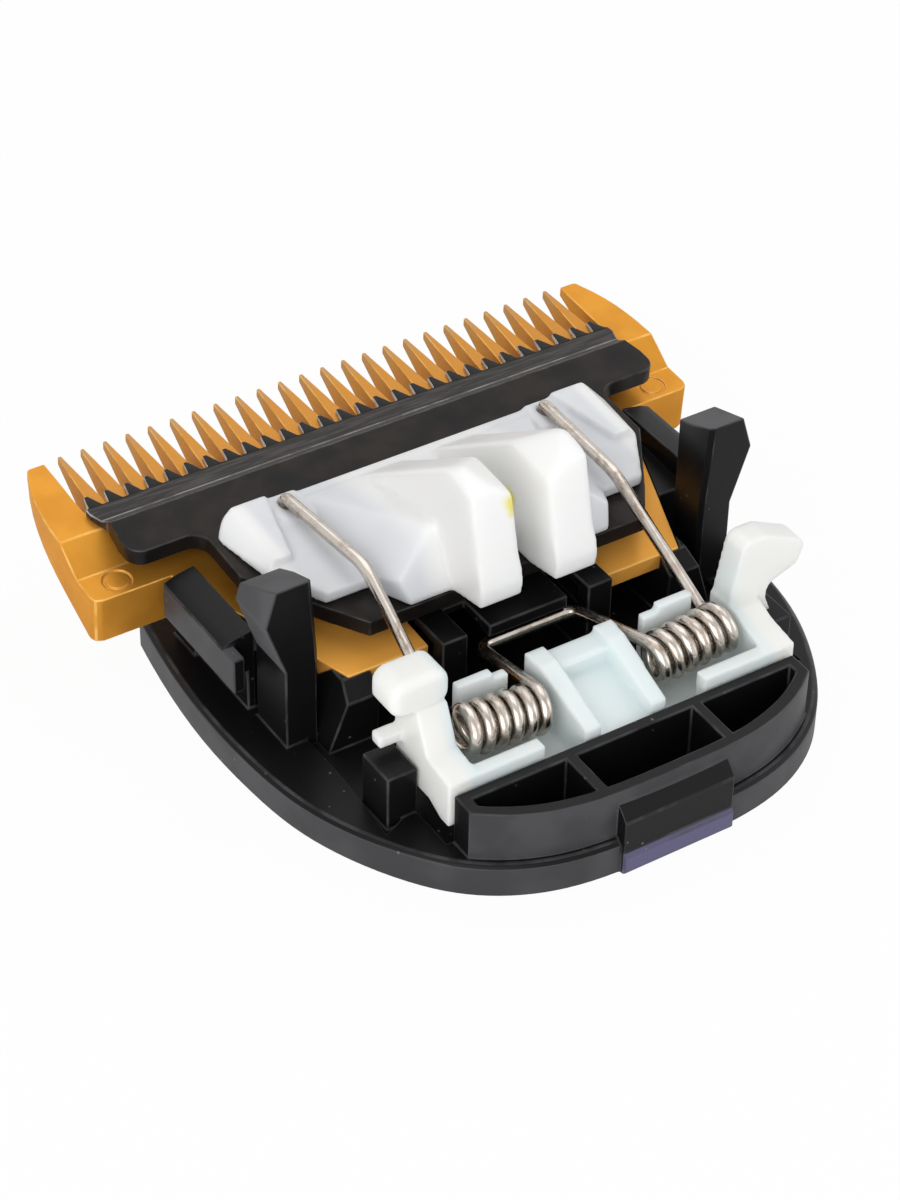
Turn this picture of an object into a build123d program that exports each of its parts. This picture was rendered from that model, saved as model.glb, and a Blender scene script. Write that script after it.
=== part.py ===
from build123d import *
import math
import os

# Hair clipper blade unit, in millimetres. +X runs along the comb, +Y points to the tooth tips, +Z up.
# The origin is the middle of the plan at the underside of the rim.

# Blade plane: the blades lie on a plane that rises to the front. Blade sizes are drawn level and then tilted.
TILT = 4.0
PIVOT_Y = 13.7
LAND_Z = 8.85

# Comb (fixed blade)
COMB_TEETH = 24
COMB_PITCH = 1.6
TIP_Y = 21.1
ROOT_Y = 15.4
TOOTH_TIP_W = 0.24
TOOTH_ROOT_W = 1.12
TIP_THICK = 0.55
LAND_REAR_Y = 13.7
RAMP_REAR_Y = 11.5
PLATE_Z = 7.46
PLATE_THICK = 1.2
BLOCK_REAR_Y = 9.15
BLOCK_BOTTOM_Z = 4.1
BLOCK_HALF = 22.2
BLOCK_HEEL = 0.9
GUARD_INNER = 19.55
GUARD_BEND_Y = 12.0
GUARD_STEPS = 8
GUARD_TIP_OUTER = 20.9
GUARD_TIP_R = 0.35
GUARD_TIP_Y = 20.85
PLATE_FRONT_HALF = 16.9
PLATE_REAR_HALF = 12.1
PLATE_REAR_Y = -3.85
NOTCH_HALF = 6.45
NOTCH_FRONT_Y = 3.6
MARK_X = 20.0
MARK_Y = 10.4
MARK_R = 0.95
MARK_W = 0.22
MARK_DEPTH = 0.12

# Cutter (moving blade)
CUT_GAP = 0.03
CUT_THICK = 1.15
CUT_TEETH = 28
CUT_PITCH = 1.4
CUT_TOOTH_TIP_W = 0.24
CUT_TOOTH_ROOT_W = 0.9
CUT_TIP_Y = 16.6
CUT_ROOT_Y = 15.2
CUT_EDGE_THICK = 0.45
CUT_TIP_THICK = 0.2
CUT_BAR_FRONT_Y = 12.75
CUT_BAR_REAR_Y = 9.35
CUT_BAR_HALF = 19.45
CUT_CORNER_R = 1.1
CUT_TAIL_HALF = 14.75
CUT_TAIL_BEND_Y = 4.6
CUT_TAIL_SIDE_HALF = 11.7
CUT_TAIL_SIDE_Y = -0.3
CUT_TAIL_REAR_HALF = 10.0
CUT_TAIL_REAR_Y = -2.75
PEG_R = 1.3
PEG_X = 9.2
PEG_Y = 1.6
PEG_FIT = 0.03
RUN_GAP = 0.05

# Drive block
BASE_THICK = 0.95
BASE_FRONT_Y = 9.0
BASE_FRONT_HALF = 14.4
BASE_MID_Y = 3.4
BASE_MID_HALF = 13.5
BASE_REAR_Y = -0.15
BASE_REAR_HALF = 11.5
BASE_CORNER = 0.9
END_RIB_IN = 11.8
END_RIB_TOP = 12.95
END_RIB_RISE = 0.55
SEAT_PAD_W = 2.2
SEAT_PAD_Y = 6.4
SEAT_PAD_RISE = 0.25
WEDGE_HALF = 7.2
WEDGE_FLARE = 1.3
WEDGE_REAR_Y = -2.8
WEDGE_TOP_Y = -0.6
WEDGE_TOP_Z = 13.9
FIN_OUTER = 4.2
FIN_INNER = 1.2
FIN_FOOT_Y = -5.75
FIN_FOOT_Z = 10.85
FIN_BACK_Y = -3.85
FIN_BACK_Z = 18.3
FIN_TOP_Y = -1.8
FIN_TOP_Z = 18.95
FIN_FRONT_Y = 8.0
FIN_CROWN = 1.5
FIN_EDGE = 0.6

# Spring
WIRE_D = 0.8
WIRE_SIDES = 8
WIRE_FULL = 1.03
WIRE_TURN = 7
BEAD = 1.08
COIL_D = 2.6
COIL_TURNS = 5
COIL_OUT = 9.55
COIL_IN = 4.03
COIL_Y = -11.9
COIL_Z = 6.25
COIL_RISE = 0.55
ARM_TIP_X = 9.55
ARM_TIP_Y = 8.0
ARM_TIP_Z = 11.08
ARM_KINK_Z = 11.3
ARM_KINK_X = 9.05
ARM_KINK_Y = -0.57
BIGHT_X = 3.5
BIGHT_Y = -4.65
BIGHT_Z = 5.5
TIP_HOOK = 0.9
SEAT_FIT = 0.08

# Adjuster
ADJ_FLOOR_Z = 3.95
ADJ_HALF = 12.4
ADJ_FRONT_Y = -9.35
ADJ_TRAVEL = 2.0
LEG_IN = 10.3
LEG_FOOT_Z = 3.3
CENTRE_HALF = 3.15
CENTRE_REAR_HALF = 2.9
CENTRE_FRONT_Y = -9.0
CENTRE_TOP_Z = 7.95
RECESS_HALF = 1.75
RECESS_WALL = 1.8
RECESS_FRONT_Z = 6.4
RECESS_REAR_Z = 4.9
CRADLE_TOP_Z = 8.3
CRADLE_T = 0.65
WALL_IN = 4.85
WALL_OUT = 8.5
LIP_IN = 5.7
LIP_FRONT_Y = -14.3
LIP_TOP_Z = 6.5
EAR_REAR_Y = -11.8
EAR_LOW_Z = 9.4
KNOB_OUT = 14.0
KNOB_TOP_Z = 11.8
NUB_Z = 6.3
NUB_H = 0.8
HORN_OUT = 16.1
HORN_TOP_Z = 11.7
HORN_ROUND = 0.8

# Housing
RIM_T = 2.3
FLOOR_T = 1.8
RIM_ROUND = 0.3
WELL_FRONT_Y = 8.0
RAIL_IN = 15.9
RAIL_OUT = 18.1
RAIL_FRONT_Y = 8.2
RAIL_REAR_Y = 0.9
RAIL_TOP_Z = 8.3
RAIL_LOW_Z = 5.2
RAIL_DROP = 0.6
RAIL_CROWN = 1.5
STRIP_W = 0.8
STRIP_REAR_Y = -0.5
WEB_OUT = 16.4
POST_IN = 14.3
POST_OUT = 16.75
POST_FOOT_IN = 13.85
POST_FOOT_OUT = 16.2
POST_FOOT_Z = 8.0
POST_TAPER = 0.6
POST_BEVEL = 0.3
CATCH_OUT = 17.5
CATCH_Z = 11.9
POST_FRONT_Y = 0.15
POST_REAR_Y = -3.4
POST_TOP_Z = 14.3
POST_FRONT_Z = 12.9
BED_IN = 10.6
BED_EDGE = 0.5
BED_REAR = 1.3
BED_FOOT = 2.4
BRIDGE_HALF = 6.2
BRIDGE_REAR_Y = -4.9
BRIDGE_FRONT_Y = -1.3
BRIDGE_LOW_Z = 6.15
BRIDGE_TOP_Z = 7.0
LOOP_ROOM = 0.25
GUIDE_W = 2.2
GUIDE_REAR = 3.1
GUIDE_TOP_Z = 5.6
BOX_FRONT_Y = -15.45
BOX_HALF = 12.15
BOX_FRONT_Z = 5.8
BOX_REAR_Z = 5.7
BOX_WALL = 0.75
BOX_INSET = 0.6
POCKET_FLOOR_Z = 1.6
RIB_X = 4.5
CLIP_HALF = 3.9
CLIP_REAR_Y = -21.2
CLIP_FRONT_Y = -19.6
CLIP_TOP_Z = 5.3
CLIP_EDGE_Z = 4.1
CLIP_LIP_Z = 1.6
CLIP_LIP = 0.2
FIT = 0.05
SLIDE_GAP = 0.15
ROOTED = 0.2

# Overshoot of cutting shapes past the surface they cut, and the size of shapes that only bound a region
OVER = 1.0
FAR = 40.0

ADJ_REAR_Y = BOX_FRONT_Y + SLIDE_GAP
CUT_BOTTOM_Z = LAND_Z + CUT_GAP
CUT_TOP_Z = CUT_BOTTOM_Z + CUT_THICK
BASE_TOP_Z = CUT_TOP_Z + BASE_THICK
ADJ_BOTTOM_Z = FLOOR_T + SLIDE_GAP
RIM_HALF_POINTS = [
    (17.8, 12.3), (18.65, 6.4), (18.95, 1.2), (18.75, -3.4), (18.1, -7.8), (16.8, -11.5),
    (15.1, -14.6), (13.1, -17.1), (10.7, -18.9), (7.8, -20.1), (5.0, -20.6), (2.0, -20.75),
]
WELL_HALF_POINTS = [(16.3, WELL_FRONT_Y), (15.65, 1.9), (15.75, -1.0), (14.75, -3.7), (14.75, -8.2),
                    (15.1, -12.9)]


def plan(points, low, high):
    """Prism over a plan polygon between two heights."""
    face = make_face(Polyline(points, close=True))
    return Pos(0, 0, low) * extrude(face, amount=high - low, dir=(0, 0, 1))


def side(points, left, right):
    """Prism of a (y, z) profile from one x to another."""
    face = make_face(Polyline([(left, y, z) for y, z in points], close=True))
    return extrude(face, amount=right - left, dir=(1, 0, 0))


def front(points, near, far):
    """Prism of an (x, z) profile from one y to another."""
    face = make_face(Polyline([(x, near, z) for x, z in points], close=True))
    return extrude(face, amount=far - near, dir=(0, 1, 0))


def block(x0, x1, y0, y1, z0, z1):
    """Box between two corners."""
    return Pos((x0 + x1) / 2, (y0 + y1) / 2, (z0 + z1) / 2) * Box(x1 - x0, y1 - y0, z1 - z0)


def both(shape):
    """A shape and its mirror image across the middle."""
    return [shape, mirror(shape, about=Plane.YZ)]


def tilt(shape):
    """Turn a shape drawn level onto the blade plane."""
    return Pos(0, PIVOT_Y, LAND_Z) * Rot(X=TILT) * Pos(0, -PIVOT_Y, -LAND_Z) * shape


def half_outline(points):
    """Plan points of one half joined with their mirror image."""
    return points + [(-x, y) for x, y in reversed(points)]


def comb_gaps():
    """Cutters for the gaps between comb teeth."""
    tip = TOOTH_TIP_W / 2
    root = TOOTH_ROOT_W / 2
    gaps = []
    for i in range(COMB_TEETH + 1):
        left = (i - 0.5 - COMB_TEETH / 2) * COMB_PITCH
        right = left + COMB_PITCH
        near_l, near_r = left + root, right - root
        far_l, far_r = left + tip, right - tip
        if i == 0:
            near_l = far_l = -GUARD_INNER
        if i == COMB_TEETH:
            near_r = far_r = GUARD_INNER
        ease = (near_r - near_l) * 0.3
        outline = [
            (near_l, ROOT_Y + ease), (near_l + ease, ROOT_Y), (near_r - ease, ROOT_Y),
            (near_r, ROOT_Y + ease),
            (far_r, TIP_Y), (far_r, TIP_Y + OVER), (far_l, TIP_Y + OVER), (far_l, TIP_Y),
        ]
        gaps.append(plan(outline, 0, LAND_Z + OVER))
    return gaps


def guard_edge():
    """Plan points of the curved outer edge and rounded tip of the +X guard tooth."""
    run = GUARD_TIP_Y - GUARD_TIP_R - GUARD_BEND_Y
    sweep_in = BLOCK_HALF - GUARD_TIP_OUTER
    share = [i / GUARD_STEPS for i in range(GUARD_STEPS + 1)]
    edge = [(BLOCK_HALF - sweep_in * s ** 3, GUARD_BEND_Y + run * s) for s in share]
    turn = [math.radians(a) for a in (30, 60, 90)]
    middle = (GUARD_TIP_OUTER - GUARD_TIP_R, GUARD_TIP_Y - GUARD_TIP_R)
    tip = [(middle[0] + GUARD_TIP_R * math.cos(a), middle[1] + GUARD_TIP_R * math.sin(a)) for a in turn]
    return edge + tip


def fixed_blade():
    """Comb plate with fine teeth, guard teeth, end blocks and two rear bars."""
    profile = [
        (TIP_Y, LAND_Z), (LAND_REAR_Y, LAND_Z), (RAMP_REAR_Y, PLATE_Z), (PLATE_REAR_Y, PLATE_Z),
        (PLATE_REAR_Y, PLATE_Z - PLATE_THICK), (BLOCK_REAR_Y, PLATE_Z - PLATE_THICK),
        (BLOCK_REAR_Y, BLOCK_BOTTOM_Z), (BLOCK_REAR_Y + BLOCK_HEEL, BLOCK_BOTTOM_Z),
        (TIP_Y, LAND_Z - TIP_THICK),
    ]
    blank = side(profile, -BLOCK_HALF, BLOCK_HALF)
    outline = half_outline([
        (NOTCH_HALF, NOTCH_FRONT_Y), (NOTCH_HALF, PLATE_REAR_Y), (PLATE_REAR_HALF, PLATE_REAR_Y),
        (PLATE_FRONT_HALF, BLOCK_REAR_Y), (BLOCK_HALF - 0.6, BLOCK_REAR_Y),
        (BLOCK_HALF - 0.15, BLOCK_REAR_Y + 0.2),
        (BLOCK_HALF, BLOCK_REAR_Y + 0.6), *guard_edge(), (GUARD_INNER, GUARD_TIP_Y), (GUARD_INNER, TIP_Y),
    ])
    comb = blank & plan(outline, 0, LAND_Z + OVER)
    comb -= comb_gaps()
    mark = Cylinder(MARK_R, OVER) - Cylinder(MARK_R - MARK_W, OVER)
    comb -= both(Pos(MARK_X, MARK_Y, PLATE_Z - MARK_DEPTH + OVER / 2) * mark)
    return tilt(comb)


def peg_places():
    """Middles of the two pegs that hold the drive block on the cutter."""
    return [(PEG_X, PEG_Y), (-PEG_X, PEG_Y)]


def cutter_gaps(nose):
    """Cutters for the gaps between cutter teeth and beside the end teeth."""
    tip = CUT_TOOTH_TIP_W / 2
    root = CUT_TOOTH_ROOT_W / 2
    gaps = []
    for i in range(CUT_TEETH + 1):
        left = -nose + (i - 0.5) * CUT_PITCH
        right = left + CUT_PITCH
        outline = [
            (left + root, CUT_ROOT_Y + 0.15), (left + root + 0.1, CUT_ROOT_Y),
            (right - root - 0.1, CUT_ROOT_Y),
            (right - root, CUT_ROOT_Y + 0.15), (right - tip, CUT_TIP_Y), (right - tip, CUT_TIP_Y + OVER),
            (left + tip, CUT_TIP_Y + OVER), (left + tip, CUT_TIP_Y),
        ]
        gaps.append(plan(outline, 0, CUT_TOP_Z + OVER))
    return gaps


def moving_blade():
    """Cutter plate with a bevelled toothed edge, rounded ends and a tapering tail."""
    edge = CUT_BOTTOM_Z + CUT_EDGE_THICK
    profile = [
        (CUT_TIP_Y, CUT_BOTTOM_Z), (CUT_TIP_Y, CUT_BOTTOM_Z + CUT_TIP_THICK), (CUT_ROOT_Y, edge),
        (CUT_BAR_FRONT_Y + 0.9, edge + 0.1), (CUT_BAR_FRONT_Y, CUT_TOP_Z), (CUT_TAIL_REAR_Y, CUT_TOP_Z),
        (CUT_TAIL_REAR_Y, CUT_BOTTOM_Z),
    ]
    blank = side(profile, -CUT_BAR_HALF - OVER, CUT_BAR_HALF + OVER)
    nose = CUT_TEETH * CUT_PITCH / 2
    outline = half_outline([
        (nose, CUT_TIP_Y), (nose, CUT_ROOT_Y - 0.6), (CUT_BAR_HALF - 0.3, CUT_BAR_FRONT_Y + 0.4),
        (CUT_BAR_HALF, CUT_BAR_FRONT_Y - 1.5), (CUT_BAR_HALF, CUT_BAR_REAR_Y),
        (CUT_TAIL_HALF, CUT_BAR_REAR_Y),
        (CUT_TAIL_HALF, CUT_TAIL_BEND_Y), (CUT_TAIL_SIDE_HALF, CUT_TAIL_SIDE_Y),
        (CUT_TAIL_REAR_HALF, CUT_TAIL_REAR_Y),
    ])
    plate = plan(outline, 0, CUT_TOP_Z + OVER)
    corner = [e for e in plate.edges().filter_by(Axis.Z) if abs(e.center().Y - CUT_BAR_REAR_Y) < 0.01]
    plate = fillet(corner, CUT_CORNER_R)
    blade = blank & plate
    blade -= cutter_gaps(nose)
    blade -= [Pos(x, y, CUT_BOTTOM_Z) * Cylinder(PEG_R + PEG_FIT, 4) for x, y in peg_places()]
    return tilt(blade)


def fin():
    """One fin of the drive slot on the +X side, with a ramp in front and a chamfered crown."""
    profile = [
        (FIN_FRONT_Y, CUT_TOP_Z), (FIN_FRONT_Y, BASE_TOP_Z + 0.3), (FIN_TOP_Y, FIN_TOP_Z),
        (FIN_BACK_Y, FIN_BACK_Z),
        (FIN_FOOT_Y, FIN_FOOT_Z + 1.2), (FIN_FOOT_Y, FIN_FOOT_Z), (WEDGE_REAR_Y, CUT_TOP_Z),
    ]
    body = side(profile, FIN_INNER, FIN_OUTER)
    crown = front([(FIN_INNER, CUT_TOP_Z), (FIN_INNER, FIN_TOP_Z - FIN_CROWN),
                   (FIN_OUTER - FIN_EDGE, FIN_TOP_Z + 0.1),
                   (FIN_OUTER, FIN_TOP_Z - FIN_EDGE), (FIN_OUTER, CUT_TOP_Z)],
                  FIN_FOOT_Y - OVER, FIN_FRONT_Y + OVER)
    return body & crown


def wedge():
    """Low wedge outside each fin."""
    profile = [
        (FIN_FRONT_Y, CUT_TOP_Z), (FIN_FRONT_Y, BASE_TOP_Z + 0.2), (WEDGE_TOP_Y, WEDGE_TOP_Z),
        (WEDGE_REAR_Y, CUT_TOP_Z + 0.4), (WEDGE_REAR_Y, CUT_TOP_Z),
    ]
    far = WEDGE_HALF + WEDGE_FLARE
    body = side(profile, FIN_OUTER, far)
    outline = [(FIN_OUTER, FIN_FRONT_Y), (far, FIN_FRONT_Y), (far, BASE_REAR_Y), (WEDGE_HALF, WEDGE_REAR_Y),
               (WEDGE_HALF - 2.2, WEDGE_REAR_Y), (FIN_OUTER, WEDGE_REAR_Y - 0.9)]
    slope = front([(FIN_OUTER, CUT_TOP_Z), (FIN_OUTER, WEDGE_TOP_Z + 0.6),
                   (WEDGE_HALF - 1.6, WEDGE_TOP_Z - 0.7),
                   (far, BASE_TOP_Z), (far, CUT_TOP_Z)], WEDGE_REAR_Y - OVER, FIN_FRONT_Y)
    return body & plan(outline, 0, FIN_TOP_Z) & slope


def drive_base():
    """Plate on the cutter with a raised rib at each end, its outer faces sloping."""
    top = BASE_TOP_Z + END_RIB_RISE
    outline = half_outline([
        (BASE_FRONT_HALF - BASE_CORNER, BASE_FRONT_Y), (BASE_FRONT_HALF, BASE_FRONT_Y - BASE_CORNER),
        (BASE_MID_HALF, BASE_MID_Y), (BASE_REAR_HALF, BASE_REAR_Y),
    ])
    rib = plan([(ARM_TIP_X + SEAT_PAD_W / 2 - ROOTED, BASE_FRONT_Y),
                (BASE_FRONT_HALF - BASE_CORNER, BASE_FRONT_Y),
                (BASE_FRONT_HALF, BASE_FRONT_Y - BASE_CORNER), (BASE_MID_HALF, BASE_MID_Y),
                (END_RIB_IN, BASE_MID_Y)],
               CUT_TOP_Z, top)
    slopes = front([(-BASE_FRONT_HALF, CUT_TOP_Z), (-END_RIB_TOP, top), (END_RIB_TOP, top),
                    (BASE_FRONT_HALF, CUT_TOP_Z)],
                   BASE_REAR_Y - OVER, BASE_FRONT_Y + OVER)
    return (plan(outline, CUT_TOP_Z, BASE_TOP_Z) + both(rib)) & slopes


def drive_block():
    """White block on the cutter with the slotted fins, spring seats and two pegs."""
    pad = block(ARM_TIP_X - SEAT_PAD_W / 2, ARM_TIP_X + SEAT_PAD_W / 2, SEAT_PAD_Y, BASE_FRONT_Y, CUT_TOP_Z,
                BASE_TOP_Z + SEAT_PAD_RISE)
    reach = CUT_TOP_Z - PLATE_Z - RUN_GAP
    peg = Pos(0, 0, CUT_TOP_Z + (ROOTED - reach) / 2) * Cylinder(PEG_R, reach + ROOTED)
    pegs = [Pos(x, y, 0) * peg for x, y in peg_places()]
    solid = drive_base() + both(fin())
    solid += both(wedge())
    solid += both(pad)
    solid += pegs
    solid = tilt(solid)
    room = WIRE_D + 2 * SEAT_FIT
    hole = Pos(ARM_TIP_X, ARM_TIP_Y, ARM_TIP_Z - 0.7) * Cylinder(room / 2, 1.5)
    groove = block(ARM_TIP_X - room / 2, ARM_TIP_X + room / 2, 0, ARM_TIP_Y, ARM_TIP_Z - room / 2,
                   ARM_TIP_Z + 2)
    return solid - both(hole) - both(groove)


def tangent(point, centre_z, upper):
    """Angle on the coil circle where a straight wire from a (y, z) point meets it."""
    dy = point[0] - COIL_Y
    dz = point[1] - centre_z
    turn = math.acos(COIL_D / 2 / math.hypot(dy, dz))
    return math.atan2(dz, dy) + (turn if upper else -turn)


def wire_section(place, way):
    """Many-sided section of the wire at a place, square to a direction."""
    return Plane(place, z_dir=way) * RegularPolygon(WIRE_D / 2 * WIRE_FULL, WIRE_SIDES, rotation=WIRE_TURN)


def rod(points):
    """Straight lengths of wire through points, mitred at the bends."""
    path = Polyline(points)
    return sweep(wire_section(points[0], path % 0), path=path, transition=Transition.RIGHT)


def bead(place):
    """Many-sided ball where a straight length runs into a coil."""
    size = WIRE_D / 2 * BEAD
    face = RegularPolygon(size, WIRE_SIDES)
    bars = [extrude(p * face, amount=size, both=True) for p in (Plane.XY, Plane.YZ, Plane.XZ)]
    return Pos(*place) * (bars[0] & bars[1] & bars[2])


def torsion_spring():
    """One wire: arm, coil, middle loop, coil, arm. Each coil rises to its outer end."""
    start = tangent((ARM_KINK_Y, ARM_KINK_Z), COIL_Z + COIL_RISE, False)
    stop = tangent((BIGHT_Y, BIGHT_Z), COIL_Z, True)
    turns = COIL_TURNS + 1 - (stop - start) / (2 * math.pi)
    length = math.hypot(COIL_OUT - COIL_IN, COIL_RISE)
    frame = Plane((COIL_OUT, COIL_Y, COIL_Z + COIL_RISE), x_dir=(0, math.cos(start), math.sin(start)),
                  z_dir=(COIL_IN - COIL_OUT, 0, -COIL_RISE))
    line = frame * Helix(pitch=length / turns, height=length, radius=COIL_D / 2)
    low = tuple(line @ 0)
    high = tuple(line @ 1)
    coil = sweep(wire_section(low, line % 0), path=line, is_frenet=True)
    arm = rod([(ARM_TIP_X, ARM_TIP_Y, ARM_TIP_Z - TIP_HOOK), (ARM_TIP_X, ARM_TIP_Y, ARM_TIP_Z),
               (ARM_KINK_X, ARM_KINK_Y, ARM_KINK_Z), low])
    loop = rod([high, (BIGHT_X, BIGHT_Y, BIGHT_Z), (0, BIGHT_Y, BIGHT_Z)])
    half = coil
    for length_of_wire in (bead(low), arm, bead(high), loop):
        half += length_of_wire
    return half + mirror(half, about=Plane.YZ)


def adjuster_leg(high):
    """Side plate of the adjuster on the +X side, pointed at its rear foot and with its front up to a height."""
    profile = [
        (ADJ_REAR_Y, LIP_TOP_Z), (ADJ_REAR_Y, LEG_FOOT_Z), (ADJ_REAR_Y + 0.9, LEG_FOOT_Z),
        (ADJ_REAR_Y + 2.2, LEG_FOOT_Z + 0.6), (ADJ_FRONT_Y - 0.3, LEG_FOOT_Z + 0.6), (ADJ_FRONT_Y, NUB_Z),
        (ADJ_FRONT_Y, high), (EAR_REAR_Y, high), (EAR_REAR_Y - 1.1, LIP_TOP_Z + 0.4),
    ]
    return side(profile, LEG_IN, ADJ_HALF)


def knob():
    """Rounded knob on the left leg."""
    body = block(-KNOB_OUT, -LEG_IN + 0.2, EAR_REAR_Y, ADJ_FRONT_Y, EAR_LOW_Z - 0.1, KNOB_TOP_Z)
    body = fillet(body.edges().filter_by(Axis.Y), 0.9)
    body = fillet(body.edges().group_by(Axis.Y)[0], 0.5)
    nub = block(-KNOB_OUT, -ADJ_HALF + 0.3, ADJ_FRONT_Y - 1.0, ADJ_FRONT_Y, NUB_Z, NUB_Z + NUB_H)
    return body + nub


def horn():
    """Outward horn on the right leg."""
    points = [(LEG_IN, LIP_TOP_Z - 1.2), (LEG_IN, LIP_TOP_Z + 0.3), (LEG_IN + 0.9, HORN_TOP_Z),
              (ADJ_HALF + 0.6, HORN_TOP_Z), (HORN_OUT, HORN_TOP_Z - 1.5),
              (HORN_OUT - 0.6, HORN_TOP_Z - 3.1),
              (ADJ_HALF + 0.9, HORN_TOP_Z - 3.9), (ADJ_HALF + 0.9, LIP_TOP_Z + 0.2),
              (ADJ_HALF + 1.3, GUIDE_TOP_Z + SLIDE_GAP), (ADJ_HALF, GUIDE_TOP_Z + SLIDE_GAP),
              (ADJ_HALF, LIP_TOP_Z - 1.2)]
    body = front(points, EAR_REAR_Y + 0.6, ADJ_FRONT_Y)
    bends = [e for e in body.edges().filter_by(Axis.Y) if e.center().Z > LIP_TOP_Z + 0.5]
    return fillet(bends, min(HORN_ROUND, (ADJ_HALF - LEG_IN) * 0.4))


def adjuster():
    """White slide with coil cradles, a recessed middle, two legs and two ears."""
    base = block(-LEG_IN - 0.1, LEG_IN + 0.1, ADJ_REAR_Y, ADJ_FRONT_Y, ADJ_BOTTOM_Z, ADJ_FLOOR_Z)
    wall = block(WALL_IN, WALL_OUT, ADJ_FRONT_Y - CRADLE_T, ADJ_FRONT_Y, ADJ_BOTTOM_Z, CRADLE_TOP_Z)
    wall -= block(WALL_IN - OVER, WALL_IN + 1.1, ADJ_FRONT_Y - FAR, ADJ_FRONT_Y + OVER, CRADLE_TOP_Z - 0.45,
                  CRADLE_TOP_Z + OVER)
    lip = block(LIP_IN, LEG_IN + 0.1, ADJ_REAR_Y, LIP_FRONT_Y, ADJ_BOTTOM_Z, LIP_TOP_Z)
    middle = side([(CENTRE_FRONT_Y, ADJ_BOTTOM_Z), (CENTRE_FRONT_Y, CENTRE_TOP_Z),
                   (CENTRE_FRONT_Y - 1.6, CENTRE_TOP_Z),
                   (ADJ_REAR_Y, LIP_TOP_Z - 0.2), (ADJ_REAR_Y, ADJ_BOTTOM_Z)], -CENTRE_HALF, CENTRE_HALF)
    recess = side([(CENTRE_FRONT_Y - RECESS_WALL, CENTRE_TOP_Z + OVER),
                   (CENTRE_FRONT_Y - RECESS_WALL, RECESS_FRONT_Z),
                   (ADJ_REAR_Y - OVER, RECESS_REAR_Z), (ADJ_REAR_Y - OVER, CENTRE_TOP_Z + OVER)],
                  -RECESS_HALF, RECESS_HALF)
    saddle = block(-RECESS_HALF, RECESS_HALF, CENTRE_FRONT_Y - 3, CENTRE_FRONT_Y + OVER, CENTRE_TOP_Z - 0.4,
                   CENTRE_TOP_Z + OVER)
    taper = plan([(-CENTRE_HALF, CENTRE_FRONT_Y), (CENTRE_HALF, CENTRE_FRONT_Y),
                  (CENTRE_REAR_HALF, ADJ_REAR_Y),
                  (-CENTRE_REAR_HALF, ADJ_REAR_Y)], 0, CENTRE_TOP_Z + OVER)
    body = base + both(wall) + both(lip) + ((middle - recess - saddle) & taper)
    body += adjuster_leg(LIP_TOP_Z + 0.9)
    body += mirror(adjuster_leg(EAR_LOW_Z), about=Plane.YZ)
    return body + knob() + horn()


def rim_outline(inset):
    """Plan face of the D-shaped rim, drawn in by an inset."""
    ring = RIM_HALF_POINTS + [(-x, y) for x, y in reversed(RIM_HALF_POINTS)]
    points = []
    for i, (x, y) in enumerate(ring):
        ax, ay = ring[max(i - 1, 0)]
        bx, by = ring[min(i + 1, len(ring) - 1)]
        span = math.hypot(bx - ax, by - ay)
        points.append((x + (by - ay) / span * inset, y - (bx - ax) / span * inset))
    first = (points[0][0], points[0][1] - inset)
    last = (points[-1][0], points[-1][1] - inset)
    points = [first] + points[1:-1] + [last]
    return make_face([Spline(points), Line(last, first)])


def prism(face, low, high):
    """Prism over a plan face between two heights."""
    return Pos(0, 0, low) * extrude(face, amount=high - low, dir=(0, 0, 1))


def rim():
    """Floor with a broad rim round a shallow well."""
    body = prism(rim_outline(0), 0, RIM_T)
    body = chamfer(body.edges().group_by(Axis.Z)[-1].sort_by(SortBy.LENGTH)[-1], RIM_ROUND)
    rear = [(ADJ_HALF + SLIDE_GAP, ADJ_REAR_Y + GUIDE_REAR + 0.5), (ADJ_HALF + SLIDE_GAP, BOX_FRONT_Y)]
    return body - plan(half_outline(WELL_HALF_POINTS + rear), FLOOR_T, RIM_T + OVER)


def rear_box():
    """Solid box at the rear with a sloping top."""
    zone = block(-BOX_HALF, BOX_HALF, -FAR, BOX_FRONT_Y, 0, FAR)
    shell = prism(rim_outline(BOX_INSET), RIM_T - ROOTED, BOX_FRONT_Z) & zone
    slope = side([(BOX_FRONT_Y, BOX_FRONT_Z), (CLIP_REAR_Y, BOX_REAR_Z), (CLIP_REAR_Y, FAR),
                  (BOX_FRONT_Y, FAR)], -FAR, FAR)
    return shell - slope


def box_pockets():
    """Rooms of the three pockets in the rear box."""
    inner = prism(rim_outline(BOX_INSET + BOX_WALL), POCKET_FLOOR_Z, BOX_FRONT_Z + OVER)
    span = BOX_HALF - BOX_WALL
    cells = [(-span, -RIB_X - BOX_WALL / 2), (-RIB_X + BOX_WALL / 2, RIB_X - BOX_WALL / 2),
             (RIB_X + BOX_WALL / 2, span)]
    return [inner & block(a, b, -FAR, BOX_FRONT_Y - BOX_WALL, 0, FAR) for a, b in cells]


def clip():
    """Catch at the middle of the rear edge, with a lip along its foot."""
    face = CLIP_REAR_Y + CLIP_LIP
    profile = [(CLIP_FRONT_Y, 0), (CLIP_FRONT_Y, CLIP_TOP_Z), (face + 0.35, CLIP_EDGE_Z + 0.25),
               (face, CLIP_EDGE_Z - 0.2),
               (face, CLIP_LIP_Z), (CLIP_REAR_Y, CLIP_LIP_Z - CLIP_LIP), (CLIP_REAR_Y, CLIP_LIP), (face, 0)]
    return side(profile, -CLIP_HALF, CLIP_HALF)


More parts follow.
